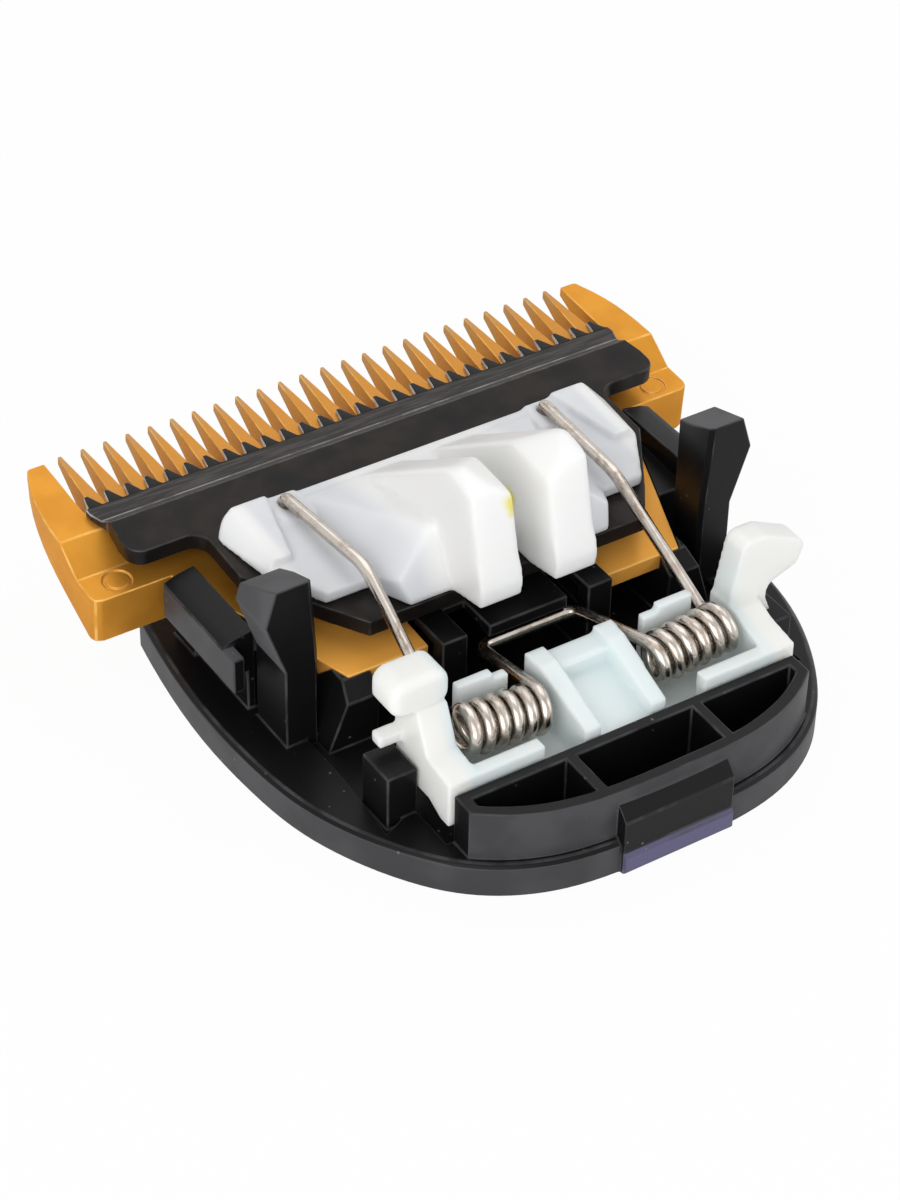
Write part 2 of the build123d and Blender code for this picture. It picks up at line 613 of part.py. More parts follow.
def rail():
    """Side rail over the edge of the comb plate on the +X side, its flange reaching out over the rim."""
    low = RAIL_TOP_Z - RAIL_DROP
    flange = front([(RAIL_IN, RAIL_LOW_Z), (RAIL_IN, RAIL_TOP_Z),
                    (RAIL_IN + RAIL_CROWN, RAIL_TOP_Z - RAIL_DROP / 2),
                    (RAIL_OUT, low), (RAIL_OUT, RAIL_LOW_Z)], RAIL_REAR_Y, RAIL_FRONT_Y)
    strip = block(RAIL_OUT - STRIP_W, RAIL_OUT, STRIP_REAR_Y, RAIL_REAR_Y + ROOTED, RAIL_LOW_Z, low)
    web = block(RAIL_IN, WEB_OUT, RAIL_REAR_Y, RAIL_FRONT_Y, FLOOR_T, RAIL_LOW_Z + ROOTED)
    return flange + strip + web


def post():
    """Latch post on the +X side: sloping top, outer catch over a long taper, spread foot."""
    foot = FLOOR_T - ROOTED
    profile = [(POST_FRONT_Y, foot), (POST_FRONT_Y, POST_FRONT_Z), (POST_REAR_Y, POST_TOP_Z),
               (POST_REAR_Y, foot)]
    body = side(profile, POST_FOOT_IN, CATCH_OUT)
    catch = front([(POST_FOOT_IN, foot), (POST_FOOT_IN, POST_FOOT_Z), (POST_IN, POST_TOP_Z),
                   (POST_OUT, POST_TOP_Z), (CATCH_OUT, CATCH_Z), (POST_FOOT_OUT, POST_FOOT_Z),
                   (POST_FOOT_OUT, foot)], POST_REAR_Y, POST_FRONT_Y)
    taper = plan([(POST_FOOT_IN, POST_REAR_Y), (CATCH_OUT, POST_REAR_Y), (CATCH_OUT, POST_FRONT_Y),
                  (POST_FOOT_IN + POST_TAPER, POST_FRONT_Y)], 0, FAR)
    body = body & catch & taper
    corner = [e for e in body.edges() if abs(e.center().Y - POST_REAR_Y) < FIT and e.center().X < POST_IN]
    return chamfer(corner, POST_BEVEL)


def bed():
    """Bed under the comb plate on the +X side, drawn level."""
    low = PLATE_Z - PLATE_THICK
    rear = PLATE_REAR_Y - BED_REAR
    edge = PLATE_REAR_HALF + BED_EDGE
    foot = PLATE_REAR_HALF + BED_FOOT
    profile = [(rear, FLOOR_T + 1), (rear, low + 0.3), (PLATE_REAR_Y - FIT, PLATE_Z),
               (BLOCK_REAR_Y - FIT, PLATE_Z),
               (BLOCK_REAR_Y - FIT, 1.0)]
    outline = [(BED_IN, rear), (foot, rear), (WEB_OUT, RAIL_REAR_Y), (WEB_OUT, BLOCK_REAR_Y),
               (BED_IN + 4, BLOCK_REAR_Y),
               (BED_IN + 4, 4.4), (BED_IN, 2.0)]
    slope = front([(BED_IN - OVER, 0), (BED_IN - OVER, FAR), (edge, FAR), (edge, PLATE_Z),
                   (foot, FLOOR_T), (foot, 0)], rear - OVER, RAIL_REAR_Y)
    flank = block(BED_IN, WEB_OUT, RAIL_REAR_Y, BLOCK_REAR_Y, 0, FAR)
    return side(profile, BED_IN, WEB_OUT) & plan(outline, 0, FAR) & (slope + flank)


def sill():
    """Wall across the front under the comb, drawn level."""
    low = PLATE_Z - PLATE_THICK
    profile = [(BLOCK_REAR_Y - 2.6, 1.0), (BLOCK_REAR_Y - 2.6, low), (BLOCK_REAR_Y - FIT, low),
               (BLOCK_REAR_Y - FIT, 1.0)]
    return side(profile, -PLATE_FRONT_HALF + 0.2, PLATE_FRONT_HALF - 0.2)


def bridge():
    """Cross bar that the middle loop of the spring hooks under, notched for the legs of the loop."""
    inner = BIGHT_X - WIRE_D / 2 - LOOP_ROOM
    outer = BIGHT_X + WIRE_D / 2 + 2 * LOOP_ROOM
    reach = BIGHT_Y + ADJ_TRAVEL + WIRE_D / 2 + LOOP_ROOM
    bar = block(-BRIDGE_HALF, BRIDGE_HALF, BRIDGE_REAR_Y, BRIDGE_FRONT_Y, BRIDGE_LOW_Z, BRIDGE_TOP_Z)
    bar -= both(block(inner, outer, BRIDGE_REAR_Y - OVER, reach, BRIDGE_LOW_Z - OVER, BRIDGE_TOP_Z + OVER))
    leg = block(outer, BRIDGE_HALF, BRIDGE_REAR_Y, BRIDGE_FRONT_Y, FLOOR_T - ROOTED, BRIDGE_TOP_Z)
    return bar + both(leg)


def guide():
    """Block on the +X side that guides the leg of the adjuster."""
    return block(ADJ_HALF + SLIDE_GAP, ADJ_HALF + GUIDE_W, ADJ_REAR_Y + GUIDE_REAR, ADJ_FRONT_Y,
                 FLOOR_T - ROOTED, GUIDE_TOP_Z)


def plate_pocket():
    """Room for the edge of the comb plate under the rails, drawn level."""
    low = PLATE_Z - PLATE_THICK
    profile = [(PLATE_REAR_Y - FIT, PLATE_Z + FIT), (PLATE_REAR_Y - FIT, low), (BLOCK_REAR_Y + 3, low),
               (BLOCK_REAR_Y + 3, PLATE_Z + FIT)]
    outline = half_outline([(PLATE_REAR_HALF + FIT, PLATE_REAR_Y - FIT),
                            (PLATE_FRONT_HALF + FIT, BLOCK_REAR_Y),
                            (PLATE_FRONT_HALF + FIT, BLOCK_REAR_Y + 3)])
    return side(profile, -FAR, FAR) & plan(outline, 0, FAR)


def housing():
    """Black moulding: rim, rear box, clip, rails, posts, beds, sill, bridge and guides."""
    body = rim()
    for piece in (rear_box(), clip(), tilt(sill()), bridge()):
        body += piece
    for piece in (tilt(bed()), rail(), post(), guide()):
        body += both(piece)
    return body - tilt(plate_pocket()) - box_pockets()


os.makedirs("parts", exist_ok=True)
export_step(housing(), "parts/housing.step")
export_step(fixed_blade(), "parts/fixed_blade.step")
export_step(moving_blade(), "parts/moving_blade.step")
export_step(drive_block(), "parts/drive_block.step")
export_step(torsion_spring(), "parts/torsion_spring.step")
export_step(adjuster(), "parts/adjuster.step")
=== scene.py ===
"""Looks of a hair clipper blade unit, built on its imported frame.

Lengths are in metres unless a name says mm.
"""

import logging
import math
from dataclasses import dataclass
from enum import Enum
from functools import cached_property

import bmesh
import bpy
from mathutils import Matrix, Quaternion, Vector
from mathutils.geometry import convex_hull_2d

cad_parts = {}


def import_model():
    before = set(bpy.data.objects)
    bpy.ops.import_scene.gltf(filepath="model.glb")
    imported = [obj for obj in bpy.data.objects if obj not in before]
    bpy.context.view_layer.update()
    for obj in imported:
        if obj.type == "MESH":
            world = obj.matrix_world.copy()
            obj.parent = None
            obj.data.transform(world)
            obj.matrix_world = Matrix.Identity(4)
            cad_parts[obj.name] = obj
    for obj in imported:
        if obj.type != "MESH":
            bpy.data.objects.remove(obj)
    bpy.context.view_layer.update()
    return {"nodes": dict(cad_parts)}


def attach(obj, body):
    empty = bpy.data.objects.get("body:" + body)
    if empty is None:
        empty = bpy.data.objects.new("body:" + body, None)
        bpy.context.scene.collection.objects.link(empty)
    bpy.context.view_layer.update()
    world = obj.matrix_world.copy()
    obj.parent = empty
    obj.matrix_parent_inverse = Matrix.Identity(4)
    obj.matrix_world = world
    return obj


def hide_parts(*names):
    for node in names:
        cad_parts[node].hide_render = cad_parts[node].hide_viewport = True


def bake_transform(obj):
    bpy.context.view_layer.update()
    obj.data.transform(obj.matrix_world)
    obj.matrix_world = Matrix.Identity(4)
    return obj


LOG = logging.getLogger("blade_unit")
MM = 0.001
# Faces of the broken edge strips, where the finishes paint a highlight.
EDGE_LAYER = "edge_highlight"
ZONE_LAYER = "zone"
WEIGHT_LAYER = "bevel_weight_edge"
ALONG_LAYER = "along"
AROUND_LAYER = "around"


class Body(Enum):
    """The bodies of the unit that move against each other."""

    BASE = "base"
    SLIDE = "slide"
    CUTTER = "cutter"


class Slot(Enum):
    """The record's material slots."""

    BLACK_PLASTIC = "black_plastic"
    GOLD_STEEL = "gold_steel"
    DARK_STEEL = "dark_steel"
    WHITE_PLASTIC = "white_plastic"
    SPRING_WIRE = "spring_wire"


class Graph:
    """A node tree with short calls to add, set and join nodes."""

    def __init__(self, tree: bpy.types.NodeTree) -> None:
        """Take over a tree and clear it.

        Args:
            tree: the node tree to fill.
        """
        self.tree = tree
        tree.nodes.clear()

    def add(self, kind: str, inputs: dict | None = None, **settings: object) -> bpy.types.Node:
        """Add a node.

        Args:
            kind: the node's type name.
            inputs: values or source sockets by input name or index.
            settings: plain properties of the node.

        Returns:
            The new node.
        """
        node = self.tree.nodes.new(kind)
        for name, value in settings.items():
            setattr(node, name, value)
        for key, value in (inputs or {}).items():
            self.feed(node, key, value)
        return node

    def feed(self, node: bpy.types.Node, key: str | int, value: object) -> None:
        """Set an input of a node.

        Args:
            node: the node.
            key: the input's name or index.
            value: a plain value, or the socket that it comes from.
        """
        if isinstance(value, bpy.types.NodeSocket):
            self.tree.links.new(value, node.inputs[key])
        else:
            node.inputs[key].default_value = value

    def math(self, operation: str, first: object, second: object = 0.0,
             clamp: bool = False) -> bpy.types.NodeSocket:
        """Join two values with an arithmetic node.

        Args:
            operation: the arithmetic to do.
            first: a value or socket.
            second: a value or socket.
            clamp: keep the result between 0 and 1.

        Returns:
            The result's socket.
        """
        node = self.add("ShaderNodeMath", {0: first, 1: second}, operation=operation, use_clamp=clamp)
        return node.outputs[0]

    def scaled(self, value: object, gain: float, start: float) -> bpy.types.NodeSocket:
        """Multiply a value and add a start to it.

        Args:
            value: a value or socket.
            gain: what it is multiplied by.
            start: what is added.

        Returns:
            The result's socket.
        """
        inputs = {0: value, 1: gain, 2: start}
        return self.add("ShaderNodeMath", inputs, operation="MULTIPLY_ADD").outputs[0]

    def ramp(self, value: object, low: float, high: float, start: float = 0.0,
             end: float = 1.0) -> bpy.types.NodeSocket:
        """Map a range of a value smoothly onto another range.

        Args:
            value: a value or socket.
            low: where the range starts.
            high: where it ends.
            start: the result at low.
            end: the result at high.

        Returns:
            The mapped value's socket.
        """
        inputs = {"Value": value, "From Min": low, "From Max": high, "To Min": start, "To Max": end}
        return self.add("ShaderNodeMapRange", inputs, interpolation_type="SMOOTHSTEP").outputs["Result"]

    def noise(self, vector: object, scale: object, detail: float = 2.0,
              rough: float = 0.5) -> bpy.types.NodeSocket:
        """Add a noise texture.

        Args:
            vector: the socket with the place on the surface.
            scale: how often the noise repeats.
            detail: how many finer layers it has.
            rough: how strong the finer layers are.

        Returns:
            The noise's value socket.
        """
        inputs = {"Vector": vector, "Scale": scale, "Detail": detail, "Roughness": rough}
        return self.add("ShaderNodeTexNoise", inputs).outputs["Fac"]

    def mix(self, share: object, first: object, second: object) -> bpy.types.NodeSocket:
        """Mix two colours.

        Args:
            share: how much of the second colour shows.
            first: a colour or socket.
            second: a colour or socket.

        Returns:
            The mixed colour's socket.
        """
        node = self.add("ShaderNodeMix", {0: share, 6: first, 7: second}, data_type="RGBA")
        return node.outputs[2]


def shader_group(name: str, inputs: dict[str, str],
                 outputs: dict[str, str]) -> tuple[Graph, bpy.types.Node, bpy.types.Node]:
    """Start a shader node group.

    Args:
        name: the group's name.
        inputs: socket types by input name.
        outputs: socket types by output name.

    Returns:
        The group's graph, its input node and its output node.
    """
    tree = bpy.data.node_groups.new(name, "ShaderNodeTree")
    for label, kind in inputs.items():
        tree.interface.new_socket(label, in_out="INPUT", socket_type=kind)
    for label, kind in outputs.items():
        tree.interface.new_socket(label, in_out="OUTPUT", socket_type=kind)
    graph = Graph(tree)
    return graph, graph.add("NodeGroupInput"), graph.add("NodeGroupOutput")


VALUE = "NodeSocketFloat"
PLACE = "NodeSocketVector"


class SurfaceEffects:
    """The effects that several finishes share, each built once as a node group."""

    def __init__(self) -> None:
        """Build every group."""
        self.millimetres = self._millimetres()
        self.grain = self._grain()
        self.lines = self._lines()
        self.edges = self._edges()
        self.specks = self._specks()
        self.spot = self._spot()

    def _millimetres(self) -> bpy.types.NodeTree:
        """Object coordinates in millimetres.

        Returns:
            The node group.
        """
        graph, _, leave = shader_group("place_in_millimetres", {}, {"Place": PLACE})
        place = graph.add("ShaderNodeTexCoord").outputs["Object"]
        scaled = graph.add("ShaderNodeVectorMath", {0: place, "Scale": 1.0 / MM}, operation="SCALE")
        graph.tree.links.new(scaled.outputs[0], leave.inputs["Place"])
        return graph.tree

    def _grain(self) -> bpy.types.NodeTree:
        """Fine grain of a moulded surface, with a slow change of tone.

        Returns:
            The node group.
        """
        graph, entry, leave = shader_group(
            "moulded_grain", {"Place": PLACE, "Fine": VALUE, "Slow": VALUE},
            {"Height": VALUE, "Tone": VALUE})
        fine = graph.noise(entry.outputs["Place"], entry.outputs["Fine"], 3.0, 0.6)
        slow = graph.noise(entry.outputs["Place"], entry.outputs["Slow"], 2.0)
        graph.tree.links.new(fine, leave.inputs["Height"])
        graph.tree.links.new(graph.ramp(slow, 0.3, 0.7), leave.inputs["Tone"])
        return graph.tree

    def _lines(self) -> bpy.types.NodeTree:
        """Fine lines left by grinding or drawing, along the second axis of the place.

        Returns:
            The node group.
        """
        graph, entry, leave = shader_group(
            "ground_lines", {"Place": PLACE, "Scale": VALUE, "Stretch": VALUE}, {"Height": VALUE})
        split = graph.add("ShaderNodeSeparateXYZ", {0: entry.outputs["Place"]})
        along = graph.math("DIVIDE", split.outputs["Y"], entry.outputs["Stretch"])
        drawn = {"X": split.outputs["X"], "Y": along, "Z": split.outputs["Z"]}
        place = graph.add("ShaderNodeCombineXYZ", drawn).outputs[0]
        height = graph.noise(place, entry.outputs["Scale"], 4.0, 0.65)
        graph.tree.links.new(height, leave.inputs["Height"])
        return graph.tree

    def _edges(self) -> bpy.types.NodeTree:
        """Mask of the broken edges where a highlight is painted, patchy.

        Returns:
            The node group.
        """
        graph, entry, leave = shader_group(
            "edge_highlight_mask", {"Place": PLACE, "Patch": VALUE, "Amount": VALUE}, {"Mask": VALUE})
        edge = graph.add("ShaderNodeAttribute", attribute_name=EDGE_LAYER).outputs["Fac"]
        cloud = graph.noise(entry.outputs["Place"], entry.outputs["Patch"], 3.0)
        patch = graph.ramp(cloud, 0.35, 0.65, 0.25, 1.0)
        mask = graph.math("MULTIPLY", graph.math("MULTIPLY", edge, patch), entry.outputs["Amount"], True)
        graph.tree.links.new(mask, leave.inputs["Mask"])
        return graph.tree

    def _specks(self) -> bpy.types.NodeTree:
        """Sparse small specks of lint and dust.

        Returns:
            The node group.
        """
        graph, entry, leave = shader_group(
            "lint_specks", {"Place": PLACE, "Scale": VALUE, "Amount": VALUE}, {"Mask": VALUE})
        layout = {"Vector": entry.outputs["Place"], "Scale": entry.outputs["Scale"]}
        cells = graph.add("ShaderNodeTexVoronoi", layout)
        dots = graph.ramp(cells.outputs["Distance"], 0.06, 0.13, 1.0, 0.0)
        some = graph.ramp(graph.noise(entry.outputs["Place"], 0.6), 0.52, 0.66)
        mask = graph.math("MULTIPLY", graph.math("MULTIPLY", dots, some), entry.outputs["Amount"], True)
        graph.tree.links.new(mask, leave.inputs["Mask"])
        return graph.tree

    def _spot(self) -> bpy.types.NodeTree:
        """Mask of a stain round a point, with an uneven edge.

        Returns:
            The node group.
        """
        graph, entry, leave = shader_group(
            "stain_spot", {"Place": PLACE, "Middle": PLACE, "Radius": VALUE}, {"Mask": VALUE})
        ends = {0: entry.outputs["Place"], 1: entry.outputs["Middle"]}
        reach = graph.add("ShaderNodeVectorMath", ends, operation="DISTANCE").outputs["Value"]
        uneven = graph.scaled(graph.noise(entry.outputs["Place"], 1.6, 3.0), 0.9, 0.55)
        share = graph.math("DIVIDE", reach, graph.math("MULTIPLY", entry.outputs["Radius"], uneven))
        graph.tree.links.new(graph.ramp(share, 0.35, 1.0, 1.0, 0.0), leave.inputs["Mask"])
        return graph.tree


Colour = tuple[float, float, float, float]


def colour(red: float, green: float, blue: float) -> Colour:
    """An opaque linear colour."""
    return (red, green, blue, 1.0)


class Surface:
    """A material being dressed: its graph, its shader and its place on the piece in millimetres."""

    def __init__(self, name: str, effects: SurfaceEffects) -> None:
        """Start a material with a Principled shader.

        Args:
            name: the material's name.
            effects: the shared effects.
        """
        self.effects = effects
        self.material = bpy.data.materials.new(name)
        self.material.use_nodes = True
        self.graph = Graph(self.material.node_tree)
        out = self.graph.add("ShaderNodeOutputMaterial")
        self.shader = self.graph.add("ShaderNodeBsdfPrincipled")
        self.graph.tree.links.new(self.shader.outputs[0], out.inputs["Surface"])
        self.place = self.effect(effects.millimetres).outputs["Place"]

    def effect(self, group: bpy.types.NodeTree, **inputs: object) -> bpy.types.Node:
        """Place a shared effect.

        Args:
            group: the effect's node group.
            inputs: values or sockets by input name.

        Returns:
            The group node.
        """
        return self.graph.add("ShaderNodeGroup", inputs, node_tree=group)

    def paint(self, **sockets: object) -> None:
        """Set shader inputs, with underscores for spaces in their names."""
        for key, value in sockets.items():
            self.graph.feed(self.shader, key.replace("_", " "), value)

    def roughness(self, height: bpy.types.NodeSocket, middle: float,
                  spread: tuple[float, float]) -> bpy.types.NodeSocket:
        """Make the finish smoother in the valleys of a height and rougher on its ridges.

        Args:
            height: the height's socket.
            middle: the finish's roughness.
            spread: what is added to it in the valleys and on the ridges.

        Returns:
            The roughness's socket.
        """
        low, high = (middle + change for change in spread)
        return self.graph.ramp(height, 0.3, 0.7, low, high)

    def bump(self, height: bpy.types.NodeSocket, depth_mm: float, strength: float) -> None:
        """Feed a height to the shader's normal.

        Args:
            height: the height's socket.
            depth_mm: what a height of one stands for.
            strength: how much of the bump shows.
        """
        inputs = {"Strength": strength, "Distance": depth_mm * MM, "Height": height}
        node = self.graph.add("ShaderNodeBump", inputs)
        self.graph.tree.links.new(node.outputs[0], self.shader.inputs["Normal"])


@dataclass(frozen=True)
class BlackPlastic:
    """Black moulded plastic: satin inside, paler on outer walls, partly a textured finish and partly
    painted light, with painted light on the posts' outer sides and tops and painted highlights on its
    edges.
    """

    satin: Colour = colour(0.0060, 0.0058, 0.0064)
    # Paler tone of the outer walls, partly a textured finish and partly painted light, and painted light on
    # the posts.
    pale_skin_and_light: Colour = colour(0.085, 0.085, 0.090)
    # Painted highlight on the broken edges.
    edge: Colour = colour(0.070, 0.070, 0.074)
    lint: Colour = colour(0.35, 0.35, 0.36)
    lip: Colour = colour(0.115, 0.105, 0.195)
    roughness: float = 0.34
    skin_roughness: float = 0.18
    gloss: float = 0.14
    lip_y_mm: float = -20.85
    lip_z_mm: float = 1.65
    fade_mm: float = 0.1
    relief_mm: float = 0.012
    relief_share: float = 0.5

    def material(self, effects: SurfaceEffects) -> bpy.types.Material:
        """Make the finish.

        Args:
            effects: the shared effects.

        Returns:
            The material.
        """
        surface = Surface("black_plastic", effects)
        graph = surface.graph
        grain = surface.effect(effects.grain, Place=surface.place, Fine=9.0, Slow=0.25)
        # Painted light: the zone lifts the posts' outer sides and tops fully and the outer walls by
        # wall_share.
        pale_skin_and_light = graph.add("ShaderNodeAttribute", attribute_name=ZONE_LAYER).outputs["Fac"]
        uneven = graph.math("MULTIPLY", pale_skin_and_light, graph.ramp(grain.outputs["Tone"], 0.0, 1.0, 0.7, 1.0))
        base = graph.mix(uneven, self.satin, self.pale_skin_and_light)
        place = graph.add("ShaderNodeSeparateXYZ", {0: surface.place})
        behind = graph.ramp(place.outputs["Y"], self.lip_y_mm, self.lip_y_mm - self.fade_mm)
        below = graph.ramp(place.outputs["Z"], self.lip_z_mm, self.lip_z_mm - self.fade_mm)
        base = graph.mix(graph.math("MULTIPLY", behind, below), base, self.lip)
        # Painted highlight along the broken edges, patchy.
        edge_highlight = surface.effect(effects.edges, Place=surface.place, Patch=0.5, Amount=0.7)
        base = graph.mix(edge_highlight.outputs["Mask"], base, self.edge)
        specks = surface.effect(effects.specks, Place=surface.place, Scale=1.1, Amount=0.35)
        base = graph.mix(specks.outputs["Mask"], base, self.lint)
        rough = graph.scaled(pale_skin_and_light, self.skin_roughness, self.roughness)
        surface.paint(Base_Color=base, Roughness=rough, Specular_IOR_Level=self.gloss)
        surface.bump(grain.outputs["Height"], self.relief_mm, self.relief_share)
        return surface.material


@dataclass(frozen=True)
class GoldCoat:
    """Satin gold coating on ground steel, greyer at the tooth tips, with painted light on its rear bar
    plate and painted highlights on its edges.
    """

    base: Colour = colour(0.70, 0.31, 0.040)
    deep: Colour = colour(0.62, 0.26, 0.032)
    # Painted highlight on the broken edges.
    edge: Colour = colour(0.95, 0.58, 0.18)
    tooth: Colour = colour(0.55, 0.245, 0.050)
    worn: Colour = colour(0.44, 0.27, 0.14)
    sheen: Colour = colour(1.0, 0.66, 0.24)
    # Painted light for the rear bar plate where it lies in shade under the cutter.
    painted_bar_light: Colour = colour(1.0, 0.46, 0.080)
    metal: tuple[float, float] = (0.5, 0.15)
    roughness: float = 0.40
    gloss: float = 0.2
    root_y_mm: float = 15.0
    tip_y_mm: float = 20.9
    wear_y_mm: float = 18.9
    guard_x_mm: float = 19.4
    bar_y_mm: float = 2.5
    root_fade_mm: float = 1.2
    guard_fade_mm: float = 0.2
    bar_fade_mm: float = 1.5
    rough_spread: tuple[float, float] = (-0.05, 0.07)
    relief_mm: float = 0.004
    relief_share: float = 0.6

    def material(self, effects: SurfaceEffects) -> bpy.types.Material:
        """Make the finish.

        Args:
            effects: the shared effects.

        Returns:
            The material.
        """
        surface = Surface("gold_coat", effects)
        graph = surface.graph
        grain = surface.effect(effects.grain, Place=surface.place, Fine=14.0, Slow=0.35)
        lines = surface.effect(effects.lines, Place=surface.place, Scale=9.0, Stretch=14.0)
        base = graph.mix(grain.outputs["Tone"], self.base, self.deep)
        place = graph.add("ShaderNodeSeparateXYZ", {0: surface.place})
        aside = graph.math("ABSOLUTE", place.outputs["X"])
        row = graph.ramp(aside, self.guard_x_mm + self.guard_fade_mm, self.guard_x_mm)
        root = graph.ramp(place.outputs["Y"], self.root_y_mm, self.root_y_mm + self.root_fade_mm)
        base = graph.mix(graph.math("MULTIPLY", row, root), base, self.tooth)
        tip = graph.math("MULTIPLY", row, graph.ramp(place.outputs["Y"], self.wear_y_mm, self.tip_y_mm))
        cloud = graph.ramp(graph.noise(surface.place, 1.4, 3.0), 0.25, 0.75, 0.45, 1.0)
        base = graph.mix(graph.math("MULTIPLY", tip, cloud), base, self.worn)
        # Painted light: the rear bar plate, shaded by the cutter's tail, is painted a brighter gold and
        # made less metallic.
        painted_light_bars = graph.ramp(place.outputs["Y"], self.bar_y_mm + self.bar_fade_mm, self.bar_y_mm)
        base = graph.mix(painted_light_bars, base, self.painted_bar_light)
        metal = graph.ramp(painted_light_bars, 0.0, 1.0, *self.metal)
        # Painted highlight along the broken edges, patchy.
        edge_highlight = surface.effect(effects.edges, Place=surface.place, Patch=0.7, Amount=0.7)
        base = graph.mix(edge_highlight.outputs["Mask"], base, self.edge)
        rough = surface.roughness(lines.outputs["Height"], self.roughness, self.rough_spread)
        surface.paint(Base_Color=base, Metallic=metal, Roughness=rough, Specular_IOR_Level=self.gloss,
                      Specular_Tint=self.sheen)
        surface.bump(lines.outputs["Height"], self.relief_mm, self.relief_share)
        return surface.material


@dataclass(frozen=True)
class DarkCoat:
    """Dark satin coating on the cutter, with bright ground flanks on its teeth and painted highlights on
    its broken edges.
    """

    base: Colour = colour(0.015, 0.014, 0.014)
    warm: Colour = colour(0.026, 0.022, 0.020)
    slope: Colour = colour(0.036, 0.033, 0.031)
    streak: Colour = colour(0.070, 0.065, 0.062)
    tooth: Colour = colour(0.006, 0.006, 0.006)
    # Painted highlight on the broken edges; near the teeth it takes the ground steel colour.
    edge: Colour = colour(0.055, 0.052, 0.050)
    ground: Colour = colour(0.62, 0.60, 0.58)
    roughness: float = 0.36
    metal: tuple[float, float] = (0.55, 0.0)
    gloss: float = 0.08
    slope_y_mm: tuple[float, float] = (12.7, 15.1)
    tooth_y_mm: tuple[float, float] = (15.0, 15.4)
    ground_y_mm: tuple[float, float] = (12.2, 15.4)
    fade_mm: float = 0.1
    flank_share: float = 0.8
    rough_spread: tuple[float, float] = (-0.06, 0.08)
    relief_mm: float = 0.004
    relief_share: float = 0.5

    def material(self, effects: SurfaceEffects) -> bpy.types.Material:
        """Make the finish.

        Args:
            effects: the shared effects.

        Returns:
            The material.
        """
        surface = Surface("dark_coat", effects)
        graph = surface.graph
        grain = surface.effect(effects.grain, Place=surface.place, Fine=16.0, Slow=0.4)
        lines = surface.effect(effects.lines, Place=surface.place, Scale=8.0, Stretch=0.07)
        base = graph.mix(grain.outputs["Tone"], self.base, self.warm)
        ahead = graph.add("ShaderNodeSeparateXYZ", {0: surface.place}).outputs["Y"]
        start, end = self.slope_y_mm
        rise = graph.ramp(ahead, start, start + self.fade_mm)
        fall = graph.ramp(ahead, end, end - self.fade_mm)
        streaks = surface.effect(effects.lines, Place=surface.place, Scale=0.3, Stretch=0.07)
        share = graph.ramp(streaks.outputs["Height"], 0.4, 0.65)
        ledge = graph.mix(share, self.slope, self.streak)
        base = graph.mix(graph.math("MULTIPLY", rise, fall), base, ledge)
        teeth = graph.ramp(ahead, *self.tooth_y_mm)
        base = graph.mix(teeth, base, self.tooth)
        flank = graph.add("ShaderNodeAttribute", attribute_name=ZONE_LAYER).outputs["Fac"]
        base = graph.mix(graph.math("MULTIPLY", flank, self.flank_share), base, self.ground)
        # Painted highlight along the broken edges, in the ground steel colour near the teeth.
        edge_highlight = surface.effect(effects.edges, Place=surface.place, Patch=0.8, Amount=0.9)
        edge_highlight_tone = graph.mix(graph.ramp(ahead, *self.ground_y_mm), self.edge, self.ground)
        base = graph.mix(edge_highlight.outputs["Mask"], base, edge_highlight_tone)
        rough = surface.roughness(lines.outputs["Height"], self.roughness, self.rough_spread)
        metal = graph.ramp(teeth, 0.0, 1.0, *self.metal)
        surface.paint(Base_Color=base, Metallic=metal, Roughness=rough, Specular_IOR_Level=self.gloss)
        surface.bump(lines.outputs["Height"], self.relief_mm, self.relief_share)
        return surface.material


@dataclass(frozen=True)
class Stain:
    """A round mark on a surface. Sizes in millimetres."""

    tone: Colour
    middle: tuple[float, float, float]
    radius: float


@dataclass(frozen=True)
class WhitePlastic:
    """White waxy plastic that lets a little light in, with a cooler, darker band on each side that is
    painted shade, and on the adjuster partly the plastic's own tint, with any stains.
    """

    name: str
    warm: Colour
    # Painted shade: the cooler, darker tone of the band, on the adjuster partly the plastic's own tint.
    cool_tint_and_shade: Colour
    cool_x_mm: tuple[float, float]
    fade_mm: float = 1.0
    far_fade_mm: float = 0.8
    glow_mm: float = 1.4
    glow: float = 0.7
    roughness: float = 0.32
    rough_spread: tuple[float, float] = (-0.02, 0.02)
    gloss: float = 0.5
    relief_mm: float = 0.010
    relief_share: float = 0.3
    stains: tuple[Stain, ...] = ()

    def material(self, effects: SurfaceEffects) -> bpy.types.Material:
        """Make the finish.

        Args:
            effects: the shared effects.

        Returns:
            The material.
        """
        surface = Surface(self.name, effects)
        graph = surface.graph
        grain = surface.effect(effects.grain, Place=surface.place, Fine=7.0, Slow=0.22)
        place = graph.add("ShaderNodeSeparateXYZ", {0: surface.place})
        aside = graph.math("ABSOLUTE", place.outputs["X"])
        # The band on each side where shade is painted.
        start, end = self.cool_x_mm
        inside = graph.ramp(aside, start - self.fade_mm, start + self.fade_mm)
        outside = graph.ramp(aside, end + self.far_fade_mm, end)
        band = graph.math("MULTIPLY", inside, outside)
        uneven = graph.math("MULTIPLY", band, graph.ramp(grain.outputs["Tone"], 0.0, 1.0, 0.8, 1.0))
        base = graph.mix(uneven, self.warm, self.cool_tint_and_shade)
        for stain in self.stains:
            spot = surface.effect(effects.spot, Place=surface.place, Middle=stain.middle,
                                  Radius=stain.radius)
            base = graph.mix(spot.outputs["Mask"], base, stain.tone)
        low, high = (self.roughness + spread for spread in self.rough_spread)
        rough = graph.ramp(grain.outputs["Tone"], 0.0, 1.0, low, high)
        surface.paint(Base_Color=base, Roughness=rough, Specular_IOR_Level=self.gloss,
                      Subsurface_Weight=self.glow, Subsurface_Radius=(1.0, 0.95, 0.9),
                      Subsurface_Scale=self.glow_mm * MM)
        surface.bump(grain.outputs["Height"], self.relief_mm, self.relief_share)
        return surface.material


